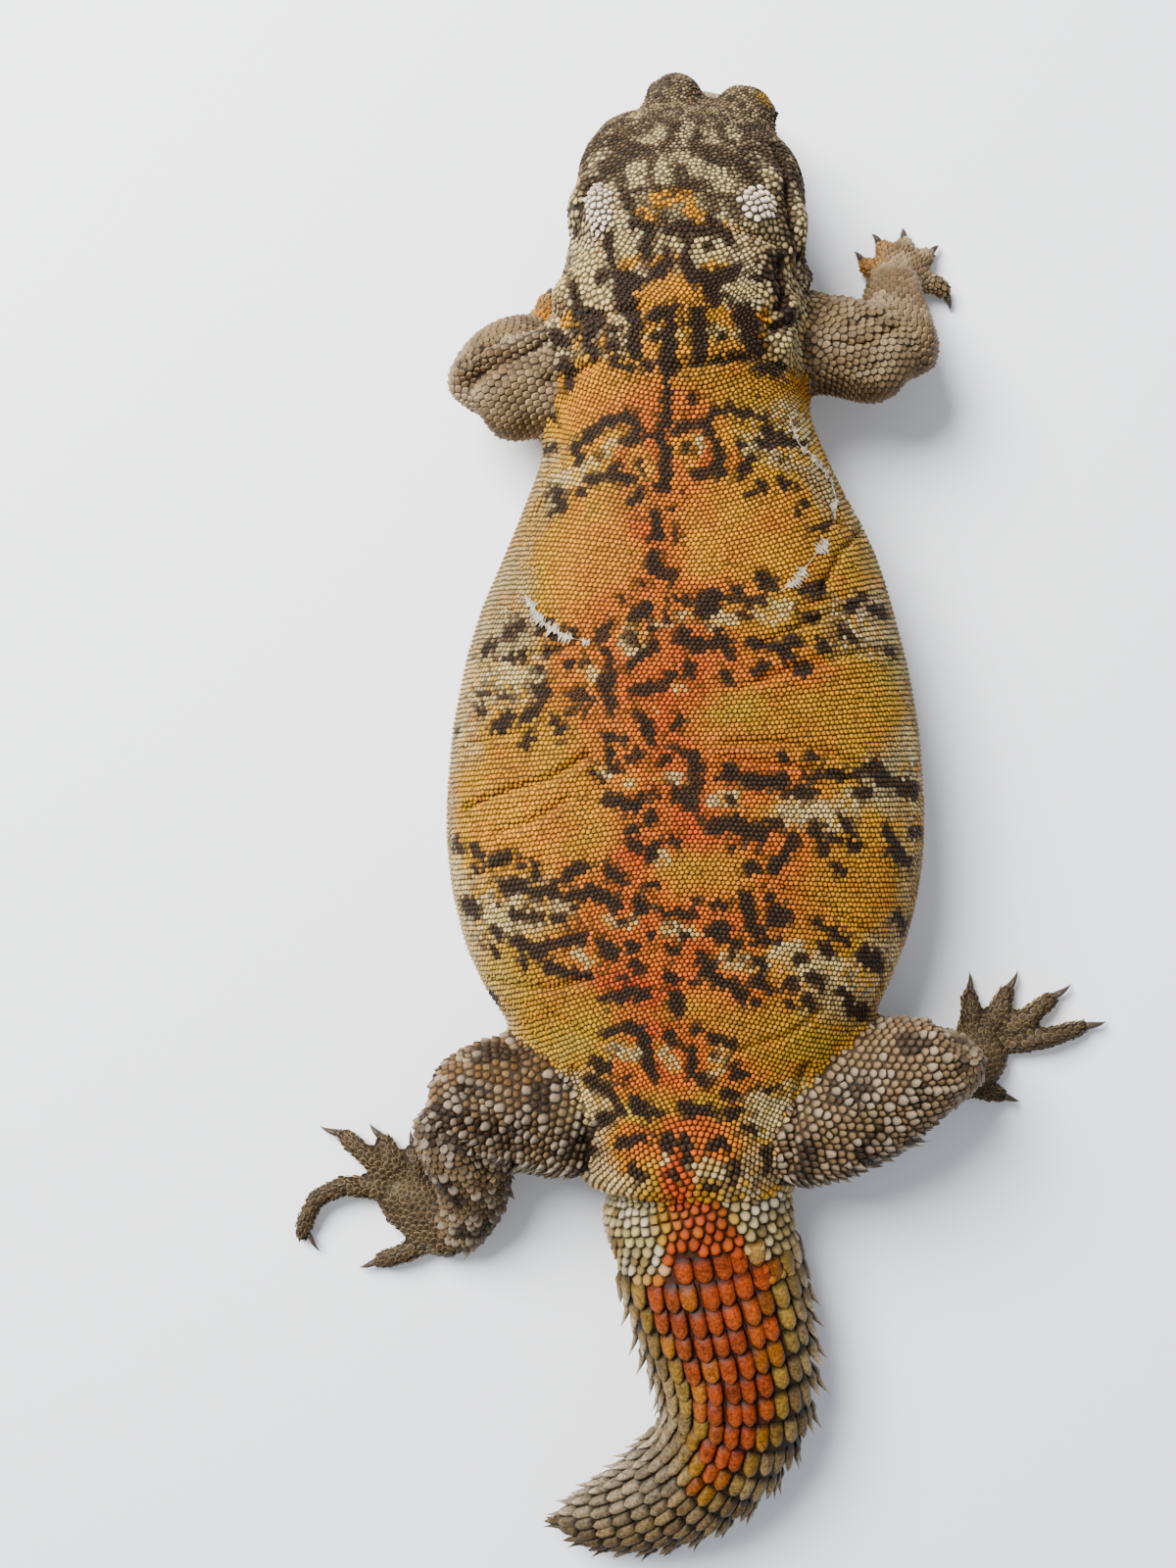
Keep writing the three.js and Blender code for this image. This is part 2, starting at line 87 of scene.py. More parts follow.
def solid_arrays(obj):
    """The corners, in millimetres, and triangles of a solid, with equal corners joined."""
    points, faces = mesh_arrays(obj.data)
    points = points @ np.array(obj.matrix_world.to_3x3()).T
    points = (points + np.array(obj.matrix_world.translation)) / MM
    points, index = np.unique(np.round(points, 4), axis=0, return_inverse=True)
    return points, index.reshape(-1)[faces]


def joined(meshes):
    """The points and faces of several meshes as those of one."""
    starts = np.cumsum([0] + [len(points) for points, faces in meshes])
    points = np.vstack([points for points, faces in meshes])
    return points, np.vstack([faces + start for (points, faces), start in zip(meshes, starts)])


def point_normals(points, faces):
    """Area-weighted normals at the points of a mesh."""
    crosses = np.cross(points[faces[:, 1]] - points[faces[:, 0]], points[faces[:, 2]] - points[faces[:, 0]])
    sums = np.zeros_like(points)
    for corner in range(faces.shape[1]):
        for axis in range(3):
            sums[:, axis] += np.bincount(faces[:, corner], crosses[:, axis], len(points))
    return unit(sums)


def build_mesh(name, points, faces, smooth=True):
    """A mesh object from points in millimetres and faces of one size."""
    mesh = bpy.data.meshes.new(name)
    corners = faces.shape[1]
    mesh.vertices.add(len(points))
    mesh.vertices.foreach_set("co", (points * MM).astype(np.float32).ravel())
    mesh.loops.add(faces.size)
    mesh.loops.foreach_set("vertex_index", faces.astype(np.int32).ravel())
    mesh.polygons.add(len(faces))
    mesh.polygons.foreach_set("loop_start", np.arange(len(faces), dtype=np.int32) * corners)
    mesh.polygons.foreach_set("use_smooth", np.full(len(faces), smooth))
    mesh.update(calc_edges=True)
    obj = bpy.data.objects.new(name, mesh)
    bpy.context.scene.collection.objects.link(obj)
    return obj


def reworked(points, faces, kind, settings):
    """The mesh that one of Blender's modifiers makes of points and faces."""
    lump = build_mesh("lump", points, faces)
    modifier = lump.modifiers.new("rework", kind)
    for key, value in settings.items():
        setattr(modifier, key, value)
    shaped = lump.evaluated_get(bpy.context.evaluated_depsgraph_get())
    mesh = bpy.data.meshes.new_from_object(shaped)
    bpy.data.objects.remove(lump)
    return mesh


def along(stations, count):
    """Stations set evenly along a smooth line through the given ones."""
    rows = np.array(stations, dtype=float)
    steps = np.linalg.norm(np.diff(rows[:, :3], axis=0), axis=1)
    places = np.concatenate([[0], np.cumsum(steps)])
    slopes = np.gradient(rows, places, axis=0)
    wanted = np.linspace(0, places[-1], count)
    span = np.clip(np.searchsorted(places, wanted, side="right") - 1, 0, len(rows) - 2)
    width = (places[span + 1] - places[span])[:, None]
    t = (wanted - places[span])[:, None] / width
    start, end = rows[span], rows[span + 1]
    curve = (2 * t**3 - 3 * t**2 + 1) * start + (t**3 - 2 * t**2 + t) * width * slopes[span]
    return curve + (-2 * t**3 + 3 * t**2) * end + (t**3 - t**2) * width * slopes[span + 1]


def frames_along(rows):
    """Forward, side and up directions at each station of a line."""
    forward = unit(np.gradient(rows[:, :3], axis=0))
    side = unit(np.cross(forward, (0, 0, 1)))
    return forward, side, np.cross(side, forward)


def ramp(value, low, high):
    """0 below low, 1 above high, and smooth between."""
    t = np.clip((value - low) / (high - low), 0, 1)
    return t * t * (3 - 2 * t)


def tube_faces(rings, sides):
    """The triangles of a tube's wall, whose points are numbered ring by ring."""
    here = np.arange(sides)
    after = (here + 1) % sides
    halves = [(here, after, after + sides), (here, after + sides, here + sides)]
    wall = np.vstack([np.stack(half, axis=1) for half in halves])
    return np.vstack([wall + ring * sides for ring in range(rings - 1)])


def closed_tube(shell, ends):
    """The points and triangles of rings of points that close onto a point at each end."""
    rings, sides, _ = shell.shape
    here = np.arange(sides)
    after = (here + 1) % sides
    start_point = rings * sides
    last = start_point - sides
    start_cap = np.stack([after, here, np.full(sides, start_point)], axis=1)
    end_cap = np.stack([last + here, last + after, np.full(sides, start_point + 1)], axis=1)
    points = np.vstack([shell.reshape(-1, 3), *ends])
    return points, np.vstack([tube_faces(rings, sides), start_cap, end_cap])


def tail_core():
    """The tail's flesh, without its spiny scales: a closed tube of flattened rings."""
    rows = along(TAIL, CORE_RINGS)
    depth = ramp(rows[:, 1:2], *SHIELDS_SET_IN)
    rows[:, 3:] = np.maximum(rows[:, 3:] - TAIL_SCALE_DEPTH * depth, 0.2)
    _, side, up = frames_along(rows)
    turn = np.linspace(0, 2 * np.pi, CORE_SIDES, endpoint=False)
    across = np.cos(turn)[None, :, None] * rows[:, 3, None, None] * side[:, None]
    height = np.where(np.sin(turn) > 0, rows[:, 4, None], rows[:, 5, None]) * np.sin(turn)
    shell = rows[:, None, :3] + across + height[:, :, None] * up[:, None]
    return closed_tube(shell, (rows[0, :3], rows[-1, :3]))


parts = [solid_arrays(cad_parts[name]) for name in flesh]
cad_points, cad_faces = joined(parts)
cad_owner = np.repeat(np.arange(len(parts)), [len(faces) for points, faces in parts])
cad_tree = BVHTree.FromPolygons(cad_points.tolist(), cad_faces.tolist())
bodies = [part for name, part in zip(flesh, parts) if not name.startswith("tail")]
bodies.append(tail_core())
grown = [(points + MERGE_GROWTH * point_normals(points, faces), faces) for points, faces in bodies]
merged = reworked(*joined(grown), "REMESH", {"mode": "VOXEL", "voxel_size": VOXEL * MM})
hide_points = mesh_arrays(merged)[0] / MM
hide_quads = np.empty(len(merged.loops), dtype=np.int32)
merged.loops.foreach_get("vertex_index", hide_quads)
hide_quads = hide_quads.reshape(-1, 4)
edges = np.empty(len(merged.edges) * 2, dtype=np.int32)
merged.edges.foreach_get("vertices", edges)
edges = edges.reshape(-1, 2)


def owners_of(points):
    """The number of the solid that each point is nearest to."""
    return cad_owner[[cad_tree.find_nearest(point)[2] for point in points.tolist()]]


def smooth(points, steps):
    """Moves each point towards the middle of its neighbours, as often as its steps say."""
    degree = np.bincount(edges.ravel(), minlength=len(points))
    for step in range(int(steps.max())):
        live = (steps > step)[:, None] * 0.5
        mean = np.empty_like(points)
        for axis in range(3):
            mean[:, axis] = np.bincount(edges[:, 0], points[edges[:, 1], axis], len(points))
            mean[:, axis] += np.bincount(edges[:, 1], points[edges[:, 0], axis], len(points))
        points = points + live * (mean / degree[:, None] - points)
    return points


DEPTH_SMOOTHING = 8
hide_owner = owners_of(hide_points)
steps_of = np.array([next(n for key, n in SMOOTHING.items() if name.startswith(key)) for name in flesh])
hide_points = smooth(hide_points, steps_of[hide_owner])
thin = np.array([name.startswith(("foot", "hand")) for name in flesh])
depths = np.where(thin[hide_owner], FOOT_SCALE_DEPTH, SCALE_DEPTH)[:, None].repeat(3, axis=1)
depths = smooth(depths, np.full(len(depths), DEPTH_SMOOTHING))
hide_points -= (MERGE_GROWTH * DRAWN_BACK + depths) * point_normals(hide_points, hide_quads)


def distance_to(points, path):
    """How far each point is from a line drawn through the path's points."""
    best = np.full(len(points), 1e9)
    for start, end in zip(path[:-1], path[1:]):
        start, end = np.array(start), np.array(end)
        run = end - start
        t = np.clip((points - start) @ run / max(run @ run, 1e-9), 0, 1)
        best = np.minimum(best, np.linalg.norm(points - start - t[:, None] * run, axis=1))
    return best


# The hide's small forms are placed in a picture 1200 wide and 1600 high, seen from VIEW by a
# lens PIXELS from its film. A place that misses the animal is taken to be BESIDE below the lens.
VIEW = np.array((12.5, 0, 236))
PICTURE = (1200, 1600)
PIXELS = 1760
BESIDE = 221


def seen(numbers):
    """The points of the animal that the picture shows at pairs of numbers, across and down."""
    spots = []
    for across, down in zip(numbers[::2], numbers[1::2]):
        ray = np.array(((PICTURE[0] / 2 - across) / PIXELS, (down - PICTURE[1] / 2) / PIXELS, -1))
        hit = cad_tree.ray_cast(VIEW.tolist(), unit(ray).tolist())[0]
        spots.append(np.array(hit) if hit else VIEW + BESIDE * ray)
    return spots


# Lumps are a height, a radius and a middle. Folds are a depth, a width and a line to follow.
LUMPS = [
    (1.5, 2.6, 574, 302), (1, 2, 566, 345), (2.3, 2.8, 814, 284), (1.1, 2.2, 800, 352),
    (0.8, 1.8, 806, 322), (0.9, 1.8, 613, 205), (0.9, 1.8, 612, 222), (1.3, 2, 773, 212),
    (0.7, 2.4, 770, 262), (0.5, 2.6, 632, 255), (0.5, 2.6, 598, 262), (0.6, 2.4, 760, 300),
    (0.8, 2.2, 786, 180), (0.5, 2.2, 605, 165), (0.5, 3, 700, 300), (0.9, 2.2, 815, 222),
    (0.5, 3, 590, 222), (0.4, 3, 592, 200), (1.2, 3, 618, 130), (0.9, 3, 609, 148), (0.5, 3, 604, 168),
    (0.8, 2, 704, 90), (0.8, 2, 744, 96),
]
FOLDS = [
    (1.3, 0.8, 792, 150, 801, 180, 804, 205, 807, 230, 812, 250),
    (1.1, 0.8, 606, 188, 598, 206, 593, 224, 590, 242), (0.9, 0.7, 585, 288, 589, 312, 592, 330),
    (1, 0.8, 795, 270, 800, 300, 796, 316, 780, 322), (1, 0.8, 784, 336, 800, 331, 816, 322),
    (0.8, 0.7, 757, 236, 775, 240, 795, 250), (0.5, 0.7, 600, 320, 640, 318, 660, 312),
    (0.35, 0.7, 690, 374, 740, 368, 780, 366, 810, 380), (0.7, 0.8, 562, 388, 580, 384, 606, 372),
    (0.85, 0.6, 475, 824, 520, 806, 560, 794, 600, 770), (0.51, 0.6, 505, 850, 540, 838, 580, 815),
    (0.59, 0.6, 740, 758, 800, 757, 850, 768, 890, 785), (0.51, 0.6, 760, 700, 830, 680, 900, 660),
    (0.51, 0.6, 780, 655, 850, 625, 905, 600), (0.51, 0.6, 800, 905, 850, 930, 900, 960),
    (0.51, 0.6, 560, 1035, 600, 1060, 640, 1070), (0.68, 0.7, 880, 540, 860, 560, 840, 600),
    (0.85, 0.8, 800, 470, 840, 500, 860, 530), (0.85, 0.8, 545, 470, 560, 500, 540, 530),
    (1, 0.9, 585, 1095, 595, 1140, 600, 1190), (1, 0.9, 822, 1090, 812, 1140, 806, 1190),
    (0.51, 0.6, 500, 1000, 560, 1010, 600, 1000), (0.51, 0.6, 840, 1030, 800, 1060, 760, 1070),
    (0.9, 0.7, 482, 380, 510, 362, 545, 350, 562, 345), (0.5, 0.6, 500, 400, 520, 380, 550, 372),
    (0.6, 0.6, 870, 330, 900, 322, 925, 300), (0.5, 0.5, 850, 350, 880, 352, 920, 330),
    (0.4, 0.5, 850, 375, 885, 378, 930, 352), (0.7, 0.7, 470, 1110, 500, 1130, 520, 1165, 525, 1190),
    (0.85, 0.6, 450, 1150, 480, 1170, 500, 1200), (0.4, 0.45, 840, 530, 880, 548, 912, 574),
    (0.4, 0.45, 820, 618, 870, 606, 926, 612), (0.45, 0.5, 780, 690, 830, 672, 884, 664),
    (0.5, 0.5, 734, 772, 790, 780, 845, 786, 890, 806), (0.4, 0.45, 850, 850, 890, 872, 925, 900),
    (0.4, 0.45, 455, 770, 500, 752, 540, 745), (0.4, 0.45, 470, 900, 520, 880, 560, 872),
    (0.4, 0.45, 480, 660, 530, 668, 580, 660), (0.35, 0.4, 520, 560, 548, 580, 570, 610),
    (0.35, 0.4, 500, 610, 530, 630, 560, 640), (1.6, 1.1, 478, 392, 502, 374, 532, 360, 562, 346),
    (0.8, 0.6, 476, 372, 500, 352, 528, 346),
]

# The head's own features are places forward, to the side and up from its middle, in
# millimetres. HEAD_AXES are those three directions, for a head that is bowed and turned.
HEAD_PLACE = np.array((0.3, -68.3, 20.8))
HEAD_AXES = np.array(((-0.156, -0.804, -0.574), (0.9816, -0.1908, 0), (-0.1095, -0.563, 0.819)))
MOUTH = [(8.5, 14.1, -4.2), (10.5, 13.8, -3.3), (14, 12.6, -3.1), (18, 10.8, -2.9), (22, 9.7, -2.6),
         (25.5, 8.9, -2.4), (28.4, 7.3, -2.2), (30.1, 5.0, -2.1), (31.2, 2.4, -2.1), (31.5, 0, -2.1)]
EAR = [(-0.8, 14.2, -3.4), (-0.4, 14.3, -0.6), (-0.9, 14.2, 2.0)]
NOSTRIL = (27.9, 4.9, 2.1)
EYE = (19.3, 8.6, 4.2)
LID_REACH = (2.9, 2.35)


def on_head(spots, side):
    """Points given as forward, side and up on the head, for one side of it: 1 left, -1 right."""
    return HEAD_PLACE + (np.array(spots, dtype=float) * (1, side, 1)) @ HEAD_AXES


round_eye = np.linspace(0, 2 * np.pi, 17)[:, None]
lids = EYE + np.hstack([LID_REACH[0] * np.cos(round_eye), -0.25 * np.cos(2 * round_eye) - 0.35,
                        LID_REACH[1] * np.sin(round_eye)])
LUMPS = [(height, radius, seen(place)[0]) for height, radius, *place in LUMPS]
FOLDS = [(depth, width, *seen(places)) for depth, width, *places in FOLDS]
for side in (1, -1):
    FOLDS += [(0.95, 0.55, *on_head(MOUTH, side)), (1.7, 0.75, *on_head(EAR, side)),
              (-0.32, 0.7, *on_head(lids, side))]
    LUMPS += [(0.4, 1.5, on_head(NOSTRIL, side)), (-1.5, 0.65, on_head(NOSTRIL, side))]
rise = np.zeros(len(hide_points))
for height, radius, middle in LUMPS:
    away = np.linalg.norm(hide_points - middle, axis=1)
    rise += height * np.exp(-((away / radius) ** 2))
for depth, width, *path in FOLDS:  # a groove with a low rounded edge on both sides
    away = distance_to(hide_points, path)
    rise += depth * (0.45 * np.exp(-((away / (2.6 * width)) ** 2)) - 1.25 * np.exp(-((away / width) ** 2)))
hide_points += rise[:, None] * point_normals(hide_points, hide_quads)

trim = {"ratio": min(1.0, HIDE_TRIANGLES / (2 * len(hide_quads)))}
hide_points, hide_faces = mesh_arrays(reworked(hide_points, hide_quads, "DECIMATE", trim))
hide_points = hide_points / MM
hide_normals = point_normals(hide_points, hide_faces)
hide_tree = BVHTree.FromPolygons(hide_points.tolist(), hide_faces.tolist())
hide_owner = owners_of(hide_points)

hide = build_mesh("hide", hide_points, hide_faces)
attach(hide, "root")
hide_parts(*flesh)

# The markings of the hide and of every scale, set down as places in the picture, like
# the lumps and folds: ground colours in soft patches, then pale spots and gold spots, then
# black-brown bars. SATURATION and PIGMENT bring colours that were judged to a pigment's.
INK = (0.036, 0.021, 0.012)
BROWN = (0.085, 0.055, 0.034)
WHITE = (0.66, 0.55, 0.40)
CREAM = (0.67, 0.52, 0.29)
SAND = (0.66, 0.53, 0.33)
YELLOW = (0.72, 0.33, 0.035)
LID_YELLOW = (0.54, 0.31, 0.055)
SATURATION = 1.45
PIGMENT = 0.60
STROKE_SCALE = 8.2  # the picture's units to a millimetre, for strokes and then for patches
GROUND_SCALE = 8.3
GROUND_COLOURS = {
    "gold": (0.67, 0.315, 0.012), "ochre": (0.50, 0.26, 0.055), "olive": (0.46, 0.34, 0.13),
    "orange": (0.62, 0.19, 0.030), "red": (0.56, 0.115, 0.016), "cream": (0.64, 0.52, 0.34),
    "stone": (0.40, 0.325, 0.20),
}
GROUND = {
    "gold": [(622, 535, 30, 50), (596, 480, 30, 20), (600, 580, 60, 45), (750, 540, 60, 50),
        (600, 395, 60, 28), (560, 820, 70, 40), (520, 850, 40, 30), (770, 510, 50, 22),
        (620, 440, 30, 14)],
    "ochre": [(560, 770, 70, 40), (790, 730, 90, 40), (740, 390, 60, 28), (860, 560, 60, 40),
        (860, 920, 70, 50), (560, 1030, 70, 40), (800, 1050, 70, 30), (520, 540, 40, 40),
        (600, 850, 50, 30), (730, 890, 50, 30), (900, 880, 40, 40), (700, 1020, 30, 14),
        (690, 1125, 60, 20), (490, 810, 40, 50), (880, 720, 50, 40), (620, 500, 40, 30)],
    "stone": [(600, 1185, 20, 20), (790, 1190, 20, 20), (536, 560, 30, 56), (500, 620, 36, 56),
        (470, 680, 30, 50), (455, 750, 24, 60), (884, 545, 36, 44), (908, 620, 30, 54),
        (930, 700, 16, 50), (905, 780, 20, 40), (840, 500, 24, 24), (570, 505, 18, 26),
        (452, 840, 14, 40), (462, 960, 16, 40), (905, 960, 26, 30), (860, 1030, 40, 24),
        (930, 890, 18, 40)],
    "olive": [(650, 1132, 26, 16), (712, 1134, 26, 14), (590, 1060, 50, 22), (830, 1065, 45, 18),
        (740, 725, 40, 15), (700, 890, 30, 20), (520, 1010, 30, 30), (905, 690, 25, 40)],
    "orange": [(665, 415, 30, 30), (700, 415, 26, 20), (670, 560, 22, 60), (640, 700, 60, 50),
        (720, 690, 60, 30), (640, 620, 40, 20), (700, 600, 60, 14), (660, 780, 50, 70),
        (750, 800, 60, 60), (640, 900, 70, 50), (660, 960, 60, 50), (760, 1000, 50, 30),
        (720, 940, 50, 50), (790, 900, 40, 50), (660, 1080, 60, 40), (700, 1090, 60, 30),
        (690, 1160, 50, 20), (800, 690, 50, 14), (600, 690, 30, 20), (685, 500, 20, 20),
        (710, 465, 26, 20), (655, 465, 20, 18)],
    "red": [(660, 545, 8, 20), (670, 1000, 30, 25), (700, 960, 30, 30), (660, 1050, 30, 15),
        (690, 1095, 30, 14), (650, 870, 20, 20), (740, 860, 30, 14), (690, 720, 30, 60),
        (700, 1150, 40, 10), (640, 1000, 40, 15), (700, 840, 20, 30), (690, 1190, 14, 30)],
    "cream": [(590, 1160, 20, 30), (800, 1170, 20, 34), (612, 1200, 26, 14), (775, 1205, 26, 14),
        (725, 1196, 14, 8), (797, 1145, 18, 18), (470, 690, 30, 40), (520, 690, 40, 20),
        (500, 620, 20, 30), (455, 880, 14, 40), (480, 930, 30, 30), (930, 760, 16, 60),
        (890, 640, 36, 26), (935, 840, 14, 60), (900, 1000, 36, 30), (830, 990, 50, 20),
        (820, 830, 50, 14), (880, 500, 40, 30), (600, 1120, 26, 30), (785, 1130, 30, 22),
        (530, 920, 50, 24), (470, 760, 20, 30), (560, 480, 26, 20), (800, 440, 24, 30),
        (580, 250, 26, 40), (640, 255, 40, 18), (740, 255, 60, 18), (800, 280, 30, 30),
        (590, 300, 36, 26), (770, 300, 30, 14), (590, 345, 34, 20), (800, 350, 20, 20),
        (500, 1030, 20, 20)],
}
